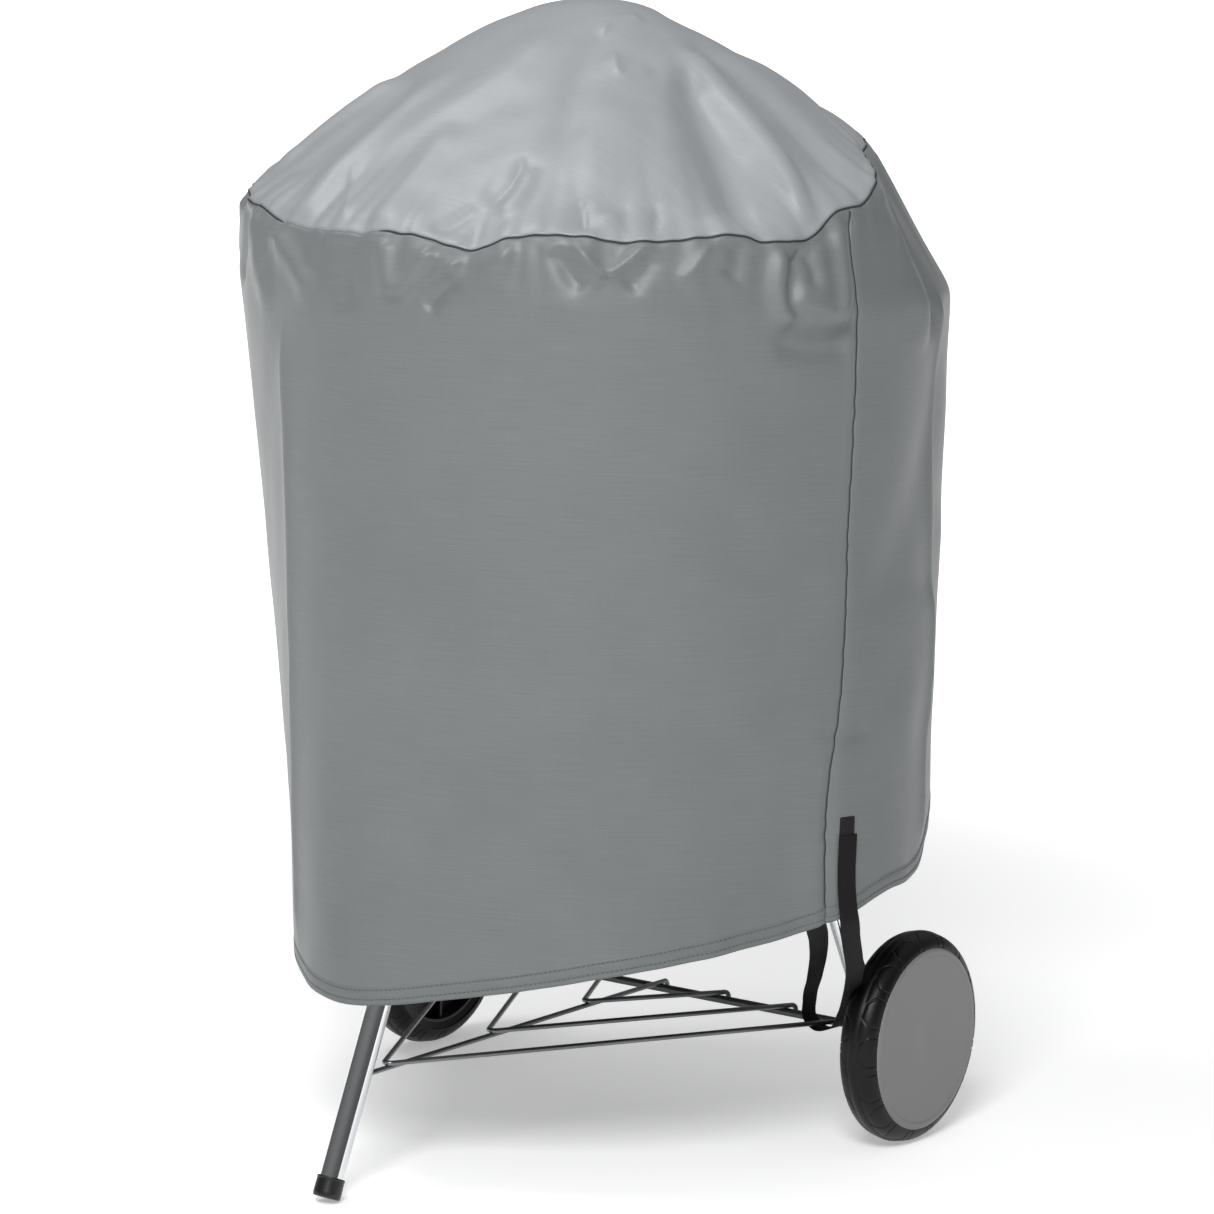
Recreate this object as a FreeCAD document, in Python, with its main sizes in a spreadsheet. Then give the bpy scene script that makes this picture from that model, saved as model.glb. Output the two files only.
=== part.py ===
"""A fitted fabric cover on a round three-legged kettle grill, as a parametric document.

Frame: +Z up, ground at z = 0, the front leg towards -Y, the wheels at +X and -X. The origin is
on the ground under the middle of the whole object, so the kettle's axis stands at y = KETTLE_Y.
All sizes are in millimetres.
"""
import FreeCAD, Part
import math
import os
import re

import Sketcher
from FreeCAD import Vector

SIZES = {
    # kettle
    "bowl_radius": (286, "bowl: outside radius at the rim"),
    "bowl_depth": (240, "bowl: rim to bottom"),
    "bowl_wall": (1.4, "bowl and lid: sheet thickness"),
    "bead_radius": (3, "bowl and lid: radius of the rolled rim bead"),
    "rim_height": (805, "bowl: height of the rim above the ground"),
    "lid_height": (200, "lid: rim to crown"),
    "seat_gap": (0.3, "running gap between pieces that rest on or slide along each other"),
    "vent_length": (62, "bowl: radial length of an air vent"),
    "vent_width": (24, "bowl: width of an air vent"),
    "vent_start": (44, "bowl: distance of a vent from the axis"),
    # bowl handles
    "handle_standoff": (22, "bowl handle: axis of the grip beyond the bowl"),
    "handle_drop": (14, "bowl handle: axis of the grip below the rim"),
    "handle_grip_radius": (12, "bowl handle: radius of the grip"),
    "handle_half_length": (85, "bowl handle: half the length of the grip"),
    "handle_arm_inset": (24, "bowl handle: arm's distance from the grip's end"),
    "handle_arm_width": (20, "bowl handle: width of a bracket arm"),
    "handle_arm_thick": (4, "bowl handle: thickness of a bracket arm"),
    # lid handle
    "lid_grip_rise": (56.7, "lid handle: top of the grip above the lid's crown"),
    "lid_grip_radius": (13, "lid handle: radius of the grip"),
    "lid_grip_half_length": (58, "lid handle: half the length of the grip"),
    "lid_post_radius": (5, "lid handle: radius of a post"),
    "lid_post_offset": (40, "lid handle: post's distance from the axis"),
    "shield_drop": (22, "lid handle: heat shield below the grip's axis"),
    "shield_margin": (6, "lid handle: heat shield beyond a post"),
    "lid_hook_share": (0.75, "lid hook: distance from the axis, as a share of the bowl's radius"),
    # damper on the lid
    "damper_reach": (140, "damper: distance of its centre from the kettle's axis"),
    "damper_radius": (45, "damper: radius of the disc"),
    "damper_thick": (1.2, "damper: sheet thickness"),
    "damper_pin_radius": (3, "damper: radius of the rivet"),
    "damper_hole_radius": (9, "damper: radius of each of its four holes"),
    "damper_hole_reach": (26, "damper: distance of a hole from the rivet"),
    # legs
    "leg_radius": (11.1, "leg: outside radius of the tube"),
    "leg_wall": (1.2, "leg: wall of the tube"),
    "leg_top_reach": (123, "leg: distance of its top from the kettle's axis"),
    "rear_leg_angle": (30, "rear leg: direction of its top from the X axis, degrees"),
    "foot_reach": (380, "front leg: where its axis meets the ground"),
    "socket_length": (46, "leg socket: length along the leg"),
    "socket_wall": (1.5, "leg socket: wall"),
    "cap_radius": (13, "foot cap: outside radius"),
    "cap_length": (16, "foot cap: length along the leg"),
    "cap_floor": (3, "foot cap: thickness of its floor"),
    "cap_flat": (0.8, "foot cap: depth of the worn flat on the ground"),
    # axle and wheels
    "wheel_radius": (101.6, "wheel: outside radius"),
    "tyre_width": (42.4, "wheel: width of the tyre"),
    "tyre_shoulder": (13, "wheel: radius of the tread's shoulders"),
    "tyre_bore": (79, "wheel: inside radius of the tyre"),
    "wheel_gap": (7, "wheel: gap between the tyre and the leg"),
    "axle_back": (146.9, "axle: distance behind the kettle's axis"),
    "axle_radius": (4, "axle: radius"),
    "axle_fit": (0.06, "wheel: radial clearance on the axle"),
    "stance_share": (0.867133, "rear leg: reach of its foot along the axle, as a share of the"
                               " bowl's radius"),
    "leg_tail": (11, "rear leg: length of tube below the axle"),
    "hub_radius": (13, "hub: radius of the boss"),
    "hub_length": (28, "hub: length of the boss"),
    "boss_stand": (2, "hub: how far the boss stands out on the inner side"),
    "web_inset": (3, "hub: web behind the boss's outer end"),
    "hub_web": (4, "hub: thickness of the web"),
    "hub_rim": (3, "hub: thickness of the rim that carries the tyre"),
    "hub_rim_width": (34, "hub: width of that rim"),
    "hub_rib": (3, "hub: thickness of a rib"),
    "cap_disc_radius": (91, "hub cap: radius"),
    "cap_disc_thick": (2.4, "hub cap: thickness"),
    "cap_disc_inset": (1.3, "hub cap: face behind the tyre's side"),
    "clip_radius": (9, "axle clip: outside radius"),
    "clip_thick": (1.5, "axle clip: thickness"),
    "axle_end": (2, "axle: length beyond a clip"),
    # wire rack
    "wire_radius": (2.4, "rack: radius of the wire"),
    "vee_clear": (7, "rack: gap between the outer V and a rear leg, along the axle"),
    "outer_apex": (299, "rack: outer V's point in front of the kettle's axis"),
    "middle_apex": (140.5, "rack: middle V's point in front of the kettle's axis"),
    "inner_apex": (-12.8, "rack: inner V's point in front of the kettle's axis"),
    "apex_bend": (5.2, "rack: bend radius at a V's point"),
    "hook_past": (8.5, "rack: how far a wire passes the axle before it turns down"),
    "hook_drop": (9, "rack: length of wire that hangs behind the axle"),
    "hook_bend": (5, "rack: bend radius of a hook"),
    # grates, sweeper, ash pan
    "cooking_drop": (27, "cooking grate: below the rim"),
    "charcoal_drop": (150, "charcoal grate: below the rim"),
    "grate_wire": (2.5, "grates: radius of the ring's wire"),
    "grate_rod": (2, "grates: radius of a rod"),
    "tab_length": (16, "grate tab: how far it stands in from the bowl"),
    "blade_width": (26, "sweeper: width of a blade"),
    "blade_thick": (1.5, "sweeper: thickness of a blade"),
    "blade_reach": (150, "sweeper: reach of a blade"),
    "shaft_radius": (5, "sweeper: radius of the shaft"),
    "bush_wall": (3, "sweeper: wall of the bush"),
    "lever_reach": (172, "sweeper: reach of the lever"),
    "lever_drop": (26, "sweeper: lever below the bowl"),
    "pan_top_radius": (131, "ash pan: radius at its rim"),
    "pan_floor_radius": (110, "ash pan: radius of its floor"),
    "pan_depth": (38, "ash pan: depth"),
    "pan_drop": (133, "ash pan: its underside below the bowl"),
    "hanger_radius": (96, "ash pan hanger: radius of the ring"),
    # cover
    "cloth": (2, "cover: thickness of the cloth shell"),
    "side_slack": (25, "cover: room beyond a bowl handle"),
    "front_slack": (34, "cover: room beyond the bowl, front and back"),
    "seam_rise": (75, "cover: rim seam above the kettle's rim"),
    "crown_half_length": (62, "cover: half the length of the crown over the lid handle"),
    "crown_half_width": (38, "cover: half the width of the crown"),
    "shoulder_rise": (183, "cover: top panel's shoulder above the kettle's rim"),
    "shoulder_long_share": (0.7552, "cover: half length of the shoulder, as a share of the"
                                    " bowl's radius"),
    "shoulder_short_share": (0.7063, "cover: half width of the shoulder, as a share of the"
                                     " bowl's radius"),
    "hem_front": (172, "cover: height of the hem in front"),
    "hem_back": (370, "cover: height of the hem behind"),
    "side_seam": (-44, "cover: side seam from the kettle's axis, along Y"),
    "patch_size": (26, "cover: side of a hook-and-loop patch"),
    "patch_thick": (1.6, "cover: thickness of a patch"),
    "patch_low": (322, "cover: height of a patch's lower edge"),
    "strap_width": (20, "strap: width of the webbing"),
    "strap_thick": (1.6, "strap: thickness of the webbing"),
    "strap_place": (-50, "strap: place on the hem from the kettle's axis, along Y"),
    "strap_loop": (44, "strap: inside width of the loop"),
    "strap_open": (30, "strap: distance between its two runs at the hem"),
    "strap_wire_share": (0.88, "strap: where it passes the outer V, as a share of the arm"),
    "rivet_radius": (3, "strap: radius of the rivet"),
}

doc = FreeCAD.newDocument("covered_kettle")
sheet = doc.addObject("Spreadsheet::Sheet", "dims")
for row, (alias, (number, meaning)) in enumerate(SIZES.items(), start=1):
    sheet.set(f"A{row}", "'" + meaning)
    sheet.set(f"B{row}", str(number))
    sheet.setAlias(f"B{row}", alias)
doc.recompute()

SUBPARTS = []
MARGIN = 1200  # reach of the boxes that trim other solids, past the whole object
NAMED_SIZE = re.compile(r"\b(" + "|".join(SIZES) + r")\b")


# ------------------------------------------------------------------- expressions
def dim(text):
    """An expression in which each named size stands as a cell of the sheet."""
    return "(" + NAMED_SIZE.sub(r"dims.\1", text) + ")"


def value(expression):
    """The number that an expression gives now."""
    result = sheet.evalExpression(expression)
    return float(getattr(result, "Value", result))


AXLE_HEIGHT = dim("wheel_radius")
LEG_TOP_HEIGHT = dim("rim_height - bowl_depth * sqrt(1 - (leg_top_reach / bowl_radius)^2)")
FRONT_SPLAY = f"atan2({dim('foot_reach - leg_top_reach')}; {LEG_TOP_HEIGHT})"
CAP_START = f"(({dim('cap_radius')} * sin({FRONT_SPLAY}) - {dim('cap_flat')}) / cos({FRONT_SPLAY}))"
COVER_HALF_WIDTH = dim("bowl_radius + handle_standoff + handle_grip_radius + side_slack")
COVER_HALF_DEPTH = dim("bowl_radius + front_slack")
FRONT_REACH = (f"({dim('foot_reach')} - {CAP_START} * sin({FRONT_SPLAY})"
               f" + {dim('cap_radius')} * cos({FRONT_SPLAY}))")
BACK_REACH = f"({COVER_HALF_DEPTH} + {dim('cloth')})"
KETTLE_Y = f"(({FRONT_REACH} - {BACK_REACH}) / 2)"
AXLE_Y = f"({KETTLE_Y} + {dim('axle_back')})"
BOWL_BOTTOM = dim("rim_height - bowl_depth")
LID_RADIUS = dim("bowl_radius + bowl_wall")
LID_RIM = dim("rim_height + 2 * bead_radius + seat_gap")
LID_TOP = f"({LID_RIM} + {dim('lid_height')})"
LID_GRIP_TOP = f"({LID_TOP} + {dim('lid_grip_rise')})"
LID_GRIP_Z = f"({LID_GRIP_TOP} - {dim('lid_grip_radius')})"
LEG_REACH = dim("stance_share * bowl_radius")
WHEEL_INNER = f"({LEG_REACH} + {dim('leg_radius + wheel_gap')})"
RACK_Z = dim("wheel_radius + axle_radius + wire_radius")
VEE_SLOPE = f"(({LEG_REACH} - {dim('leg_radius + vee_clear')}) / {dim('axle_back + outer_apex')})"
PAN_HEIGHT = f"({BOWL_BOTTOM} - {dim('pan_drop')})"


# ------------------------------------------------------------------- building blocks
def make(kind, name, **sizes):
    """A document object whose properties follow expressions."""
    obj = doc.addObject(kind, name)
    for prop, expression in sizes.items():
        obj.setExpression(prop, str(expression))
    return obj


def place(obj, x="0", y="0", z="0", axis=(0, 0, 1), angle="0"):
    """Bind an object's Placement: a turn about an axis through its own origin, then a shift."""
    turn = "create(<<vector>>; {}; {}; {})".format(*axis)
    obj.setExpression("Placement", f"create(<<placement>>; create(<<vector>>; {x}; {y}; {z});"
                                   f" create(<<rotation>>; {turn}; {angle}))")
    return obj


def subpart(obj, label):
    """Name a finished object as one of the pieces that are written out."""
    obj.Label = label
    SUBPARTS.append(obj)
    return obj


def cylinder(name, radius, height, **where):
    return place(make("Part::Cylinder", name, Radius=radius, Height=height), **where)


def rod(name, radius, start, end, before="0", after="0"):
    """A cylinder whose axis runs from start to end, longer by before and after at its ends."""
    dx, dy, dz = (f"({b} - {a})" for a, b in zip(start, end))
    length = f"hypot({dx}; {dy}; {dz})"
    foot = [f"{a} - {d} / {length} * ({before})" for a, d in zip(start, (dx, dy, dz))]
    return cylinder(name, radius, f"{length} + ({before}) + {after}", x=foot[0], y=foot[1],
                    z=foot[2], axis=(f"0 - {dy}", dx, 0), angle=f"atan2(hypot({dx}; {dy}); {dz})")


def box(name, length, width, height, **where):
    return place(make("Part::Box", name, Length=length, Width=width, Height=height), **where)


def torus(name, ring, wire, **where):
    return place(make("Part::Torus", name, Radius1=ring, Radius2=wire), **where)


def cut(name, base, *tools):
    """Base with each tool taken away."""
    for number, tool in enumerate(tools):
        step = doc.addObject("Part::Cut", f"{name}_cut{number}")
        step.Base = base
        step.Tool = tool
        base = step
    return base


def fuse(name, *shapes):
    obj = doc.addObject("Part::MultiFuse", name)
    obj.Shapes = list(shapes)
    return obj


def common(name, *shapes):
    obj = doc.addObject("Part::MultiCommon", name)
    obj.Shapes = list(shapes)
    return obj


def group(name, *shapes):
    """Separate solids that share a node."""
    obj = doc.addObject("Part::Compound", name)
    obj.Links = list(shapes)
    return obj


def half_ellipsoid(name, radius, height, centre_height, upper):
    """The upper or lower half of a spheroid on the kettle's axis."""
    obj = make("Part::Ellipsoid", name, Radius1=height, Radius2=radius, Radius3=radius)
    obj.Angle1 = 0 if upper else -90
    obj.Angle2 = 90 if upper else 0
    return place(obj, y=KETTLE_Y, z=centre_height)


def disc_body(label, radius, width, fillet, **where):
    """A body with a round pad about its own Z axis, its two rims rounded."""
    body = doc.addObject("PartDesign::Body", label)
    sketch = body.newObject("Sketcher::SketchObject", label + "_outline")
    plane = [item for item in body.Origin.OriginFeatures if item.Role == "XY_Plane"][0]
    sketch.AttachmentSupport = [(plane, "")]
    sketch.MapMode = "FlatFace"
    sketch.addGeometry(Part.Circle(Vector(0, 0, 0), Vector(0, 0, 1), value(radius)), False)
    sketch.addConstraint(Sketcher.Constraint("Coincident", 0, 3, -1, 1))
    sketch.addConstraint(Sketcher.Constraint("Radius", 0, value(radius)))
    sketch.setExpression("Constraints[1]", radius)
    pad = body.newObject("PartDesign::Pad", label + "_pad")
    pad.Profile = sketch
    pad.setExpression("Length", width)
    doc.recompute()
    rims = [f"Edge{i}" for i, edge in enumerate(pad.Shape.Edges, start=1)
            if isinstance(edge.Curve, Part.Circle)]
    rounding = body.newObject("PartDesign::Fillet", label + "_fillet")
    rounding.Base = (pad, rims)
    rounding.setExpression("Radius", fillet)
    body.Tip = rounding
    return place(body, **where)


def bent_wire(name, points, radius, bends):
    """A round wire through points, with a tangent arc of the given radius at each inner point."""
    edges = []
    start = points[0]
    for before, corner, after, bend in zip(points, points[1:], points[2:], bends):
        back = (before - corner).normalize()
        ahead = (after - corner).normalize()
        half = back.getAngle(ahead) / 2
        middle = (back + ahead).normalize()
        reach = bend / math.tan(half)
        enter = corner + back * reach
        leave = corner + ahead * reach
        centre = corner + middle * (bend / math.sin(half))
        top = centre - middle * bend
        edges.append(Part.LineSegment(start, enter).toShape())
        edges.append(Part.Arc(enter, top, leave).toShape())
        start = leave
    edges.append(Part.LineSegment(start, points[-1]).toShape())
    path = Part.Wire(edges)
    ring = Part.Wire([Part.Circle(points[0], points[1] - points[0], radius).toShape()])
    obj = doc.addObject("Part::Feature", name)
    obj.Shape = path.makePipeShell([ring], True, False)
    return obj


# ------------------------------------------------------------------- bowl, legs
def leg_line(side):
    """Foot and top of a leg's axis: side 0 is the front leg, -1 and +1 the rear ones."""
    reach = dim("leg_top_reach")
    if side == 0:
        return (("0", f"({KETTLE_Y} - {dim('foot_reach')})", "0"),
                ("0", f"({KETTLE_Y} - {reach})", LEG_TOP_HEIGHT))
    angle = dim("rear_leg_angle")
    return ((f"({side} * {LEG_REACH})", AXLE_Y, AXLE_HEIGHT),
            (f"({side} * {reach} * cos({angle}))", f"({KETTLE_Y} + {reach} * sin({angle}))",
             LEG_TOP_HEIGHT))


def toward_foot(line, length):
    """The line that runs back from a leg's top towards its foot, as long as given."""
    foot, top = line
    run = [f"({a} - {b})" for a, b in zip(foot, top)]
    whole = "hypot({}; {}; {})".format(*run)
    return [f"({b} + {d} / {whole} * {length})" for b, d in zip(top, run)]


def make_bowl():
    """The bowl with its bead, vents and the hole for the sweeper's bush."""
    outer = half_ellipsoid("bowl_outer", dim("bowl_radius"), dim("bowl_depth"),
                           dim("rim_height"), upper=False)
    inner = half_ellipsoid("bowl_inner", dim("bowl_radius - bowl_wall"),
                           dim("bowl_depth - bowl_wall"), dim("rim_height"), upper=False)
    bead = torus("bowl_bead", dim("bowl_radius"), dim("bead_radius"), y=KETTLE_Y,
                 z=dim("rim_height"))
    shell = fuse("bowl_and_bead", cut("bowl_shell", outer, inner), bead)
    holes = [cylinder("bush_hole", dim("shaft_radius + axle_fit + bush_wall"), MARGIN,
                      y=KETTLE_Y)]
    for number in range(3):
        angle = 30 + 120 * number
        slot = box(f"vent_{number}", dim("vent_length"), dim("vent_width"),
                   dim("bowl_depth / 3"),
                   x=f"{dim('vent_start')} * cos({angle}) + {dim('vent_width / 2')} * sin({angle})",
                   y=f"{KETTLE_Y} + {dim('vent_start')} * sin({angle})"
                     f" - {dim('vent_width / 2')} * cos({angle})",
                   z=f"{BOWL_BOTTOM} - {dim('bowl_wall')}", angle=str(angle))
        holes.append(slot)
    subpart(cut("bowl", shell, fuse("bowl_holes", *holes)), "bowl")
    return outer


def make_legs(bowl_outer):
    """Three tubes that end against the bowl inside their sockets; the uncut tubes are returned."""
    solids = {}
    for side, name in ((0, "front"), (1, "right"), (-1, "left")):
        line = leg_line(side)
        into_bowl = dim("3 * leg_radius")
        start = "0 - " + dim("cap_floor") + f" - {CAP_START}" if side == 0 else dim("leg_tail")
        whole = rod(f"{name}_leg_solid", dim("leg_radius"), *line, before=start, after=into_bowl)
        bore = rod(f"{name}_leg_bore", dim("leg_radius - leg_wall"), *line,
                   before=dim("2 * leg_tail"), after=dim("4 * leg_radius"))
        if side == 0:
            splay = f"tan({FRONT_SPLAY})"
            hole = cylinder("spine_hole", dim("wire_radius + seat_gap"), dim("2 * leg_radius"),
                            y=f"{KETTLE_Y} - {dim('foot_reach')} + {splay} * {RACK_Z}",
                            z=RACK_Z, axis=(1, 0, 0), angle="-90")
        else:
            hole = cylinder(f"{name}_axle_hole", dim("axle_radius + axle_fit"),
                            dim("4 * leg_radius"),
                            x=f"{side} * {LEG_REACH} - {dim('2 * leg_radius')}",
                            y=AXLE_Y, z=AXLE_HEIGHT, axis=(0, 1, 0), angle="90")
        subpart(cut(f"{name}_leg", whole, bore, hole, bowl_outer), f"{name}_leg")
        foot, top = line
        low = toward_foot(line, dim("socket_length"))
        fit = dim("leg_radius + seat_gap / 2")
        sleeve = rod(f"{name}_sleeve", f"{fit} + {dim('socket_wall')}", low, top,
                     after=into_bowl)
        sleeve_bore = rod(f"{name}_sleeve_bore", fit, low, top, before=dim("leg_radius"),
                          after=dim("4 * leg_radius"))
        subpart(cut(f"{name}_socket", sleeve, sleeve_bore, bowl_outer), f"{name}_leg_socket")
        solids[side] = whole
    return solids


def make_foot_cap():
    """A cup on the front leg's end, worn flat where its inner edge meets the ground."""
    line = leg_line(0)
    low = [f"({a} + ({b} - {a}) / hypot({b} - {a}; {d} - {c}) * {CAP_START})"
           for a, b, c, d in ((line[0][1], line[1][1], line[0][2], line[1][2]),)]
    base = ("0", low[0], f"{CAP_START} * cos({FRONT_SPLAY})")
    top = ("0", f"({base[1]} + {dim('cap_length')} * sin({FRONT_SPLAY}))",
           f"({base[2]} + {dim('cap_length')} * cos({FRONT_SPLAY}))")
    cup = rod("cap_cup", dim("cap_radius"), base, top)
    bore = rod("cap_bore", dim("leg_radius"), base, top, before="0 - " + dim("cap_floor"),
               after=dim("cap_length / 2"))
    ground = box("ground", MARGIN, MARGIN, MARGIN, x=f"{-MARGIN / 2}", y=f"{-MARGIN}",
                 z=f"{-MARGIN}")
    subpart(cut("foot_cap", cup, bore, ground), "front_leg_cap")


def make_bowl_handles(bowl_outer):
    """On each side a round grip along Y on two flat arms that start at the bowl."""
    for sign, name in ((1, "right"), (-1, "left")):
        grip_x = f"{sign} * {dim('bowl_radius + handle_standoff')}"
        grip_z = dim("rim_height - handle_drop")
        half = dim("handle_half_length")
        core = cylinder(f"{name}_grip_core", dim("handle_grip_radius"),
                        f"2 * {half} - 2 * {dim('handle_grip_radius')}", x=grip_x,
                        y=f"{KETTLE_Y} - {half} + {dim('handle_grip_radius')}", z=grip_z,
                        axis=(1, 0, 0), angle="-90")
        ends = []
        for end in (-1, 1):
            ball = make("Part::Sphere", f"{name}_grip_end", Radius=dim("handle_grip_radius"))
            ends.append(place(ball, x=grip_x, z=grip_z,
                              y=f"{KETTLE_Y} + {end} * ({half} - {dim('handle_grip_radius')})"))
        grip = subpart(fuse(f"{name}_grip", core, *ends), f"{name}_handle_grip")
        arms = []
        for end in (-1, 1):
            middle = f"{end} * ({half} - {dim('handle_arm_inset')})"
            length = dim("bowl_radius / 4 + handle_standoff")
            low_x = f"{grip_x} - {length}" if sign > 0 else grip_x
            arm = box(f"{name}_arm", length, dim("handle_arm_width"), dim("handle_arm_thick"),
                      x=low_x, y=f"{KETTLE_Y} + {middle} - {dim('handle_arm_width / 2')}",
                      z=f"{grip_z} - {dim('handle_arm_thick / 2')}")
            arms.append(cut(f"{name}_arm_trimmed", arm, bowl_outer, grip))
        subpart(group(f"{name}_bracket", *arms), f"{name}_handle_bracket")


# ------------------------------------------------------------------- lid
def lid_surface(reach):
    """Height of the lid's outside at a distance from the kettle's axis."""
    return f"({LID_RIM} + {dim('lid_height')} * sqrt(1 - ({reach} / {LID_RADIUS})^2))"


def make_lid():
    """The domed lid with its bead, its handle, the damper and its rivet, and the inside hook."""
    outer = half_ellipsoid("lid_outer", LID_RADIUS, dim("lid_height"), LID_RIM, upper=True)
    inner = half_ellipsoid("lid_inner", f"{LID_RADIUS} - {dim('bowl_wall')}",
                           dim("lid_height - bowl_wall"), LID_RIM, upper=True)
    bead = torus("lid_bead", dim("bowl_radius"), dim("bead_radius"), y=KETTLE_Y, z=LID_RIM)
    shell = fuse("lid_and_bead", cut("lid_shell", outer, inner), bead)

    reach = dim("damper_reach")
    height = lid_surface(reach)
    tilt = (f"atan2({reach} / {LID_RADIUS}^2;"
            f" ({height} - {LID_RIM}) / {dim('lid_height')}^2)")
    spot = {"axis": (-1, 0, 0), "angle": tilt}

    def on_normal(distance, across="0", along="0"):
        """A place on the damper's axis, at a distance out from the lid's outside."""
        return {"x": across,
                "y": f"{KETTLE_Y} + {reach} + ({distance}) * sin({tilt}) + ({along}) * cos({tilt})",
                "z": f"{height} + ({distance}) * cos({tilt}) - ({along}) * sin({tilt})"}

    def four_holes(name, depth, start):
        """The four holes about the rivet, as cylinders along the damper's axis."""
        holes = []
        for number in range(4):
            angle = 45 + 90 * number
            holes.append(cylinder(f"{name}_{number}", dim("damper_hole_radius"), depth, **spot,
                                  **on_normal(start, f"{dim('damper_hole_reach')} * cos({angle})",
                                              f"{dim('damper_hole_reach')} * sin({angle})")))
        return holes

    deep = dim("4 * damper_hole_radius")
    below = "0 - " + dim("2 * damper_hole_radius")
    rivet_hole = cylinder("lid_rivet_hole", dim("damper_pin_radius"), deep, **spot,
                          **on_normal(below))
    holes = fuse("lid_holes", rivet_hole, *four_holes("lid_vent", deep, below))
    subpart(cut("lid", shell, holes), "lid")

    disc = cylinder("damper_disc", dim("damper_radius"), dim("damper_thick"), **spot,
                    **on_normal(dim("seat_gap")))
    tab = box("damper_tab", dim("damper_radius / 2"), dim("damper_thick"),
              dim("damper_radius / 3"), **spot,
              **on_normal(dim("seat_gap"), f"0 - {dim('damper_radius / 4')}",
                          f"{dim('damper_radius')} - {dim('2 * damper_thick')}"))
    centre = cylinder("damper_bore", dim("damper_pin_radius + axle_fit"), deep, **spot,
                      **on_normal(below))
    subpart(cut("damper", fuse("damper_plate", disc, tab), centre,
                *four_holes("damper_hole", deep, below)), "lid_damper")
    shaft = cylinder("rivet_shaft", dim("damper_pin_radius"),
                     dim("2 * bowl_wall + 2 * seat_gap + damper_thick"), **spot,
                     **on_normal(f"0 - {dim('2 * bowl_wall')}"))
    head = cylinder("rivet_head", dim("2 * damper_pin_radius"), dim("damper_thick"), **spot,
                    **on_normal(dim("2 * seat_gap + damper_thick")))
    subpart(fuse("rivet", shaft, head), "damper_rivet")

    grip_radius = dim("lid_grip_radius")
    half = dim("lid_grip_half_length")
    core = cylinder("lid_grip_core", grip_radius, f"2 * {half} - 2 * {grip_radius}",
                    x=f"{grip_radius} - {half}", y=KETTLE_Y, z=LID_GRIP_Z, axis=(0, 1, 0),
                    angle="90")
    ends = [place(make("Part::Sphere", "lid_grip_end", Radius=grip_radius),
                  x=f"{end} * ({half} - {grip_radius})", y=KETTLE_Y, z=LID_GRIP_Z)
            for end in (-1, 1)]
    grip = subpart(fuse("lid_grip", core, *ends), "lid_handle_grip")
    sunk = dim("4 * lid_post_radius")
    posts = [cylinder("lid_post", dim("lid_post_radius"), f"{LID_GRIP_Z} - {LID_TOP} + {sunk}",
                      x=f"{end} * {dim('lid_post_offset')}", y=KETTLE_Y,
                      z=f"{LID_TOP} - {sunk}")
             for end in (-1, 1)]
    shield_half = dim("lid_post_offset + lid_post_radius + shield_margin")
    shield = box("lid_shield", f"2 * {shield_half}", dim("4 * lid_grip_radius"),
                 dim("bowl_wall"), x=f"0 - {shield_half}",
                 y=f"{KETTLE_Y} - {dim('2 * lid_grip_radius')}",
                 z=f"{LID_GRIP_Z} - {dim('shield_drop')}")
    subpart(cut("lid_bracket", fuse("lid_posts", shield, *posts), outer, grip),
            "lid_handle_bracket")

    hook_reach = dim("bowl_radius * lid_hook_share")
    hook = torus("lid_hook_ring", dim("4 * wire_radius"), dim("wire_radius"),
                 y=f"{KETTLE_Y} - {hook_reach}",
                 z=f"{lid_surface(hook_reach)} - {dim('4 * wire_radius')}",
                 axis=(0, 1, 0), angle="90")
    free_hook = cut("lid_hook_free", hook, cut("lid_skin", outer, inner))
    skin_out = box("hook_trim", MARGIN, MARGIN, MARGIN, x=f"{-MARGIN / 2}",
                   y=f"{KETTLE_Y} - {MARGIN}", z=f"{lid_surface(hook_reach)}")
    subpart(common("lid_hook", cut("lid_hook_trimmed", free_hook, skin_out), inner), "lid_hook")


# ------------------------------------------------------------------- axle, wheels, rack
def make_axle():
    """The axle, and a push-on clip outside each wheel's boss."""
    boss_end = f"({WHEEL_INNER} + {dim('hub_length - boss_stand')})"
    end = f"({boss_end} + {dim('seat_gap + clip_thick + axle_end')})"
    subpart(cylinder("axle", dim("axle_radius"), f"2 * {end}", x=f"0 - {end}", y=AXLE_Y,
                     z=AXLE_HEIGHT, axis=(0, 1, 0), angle="90"), "axle")
    for sign, name in ((1, "right"), (-1, "left")):
        where = {"x": f"{sign} * ({boss_end} + {dim('seat_gap')})", "y": AXLE_Y,
                 "z": AXLE_HEIGHT, "axis": (0, 1, 0), "angle": str(90 * sign)}
        ring = cylinder(f"{name}_clip_disc", dim("clip_radius"), dim("clip_thick"), **where)
        bore = cylinder(f"{name}_clip_bore", dim("axle_radius"), dim("clip_thick"), **where)
        subpart(cut(f"{name}_clip", ring, bore), f"{name}_axle_clip")


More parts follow.
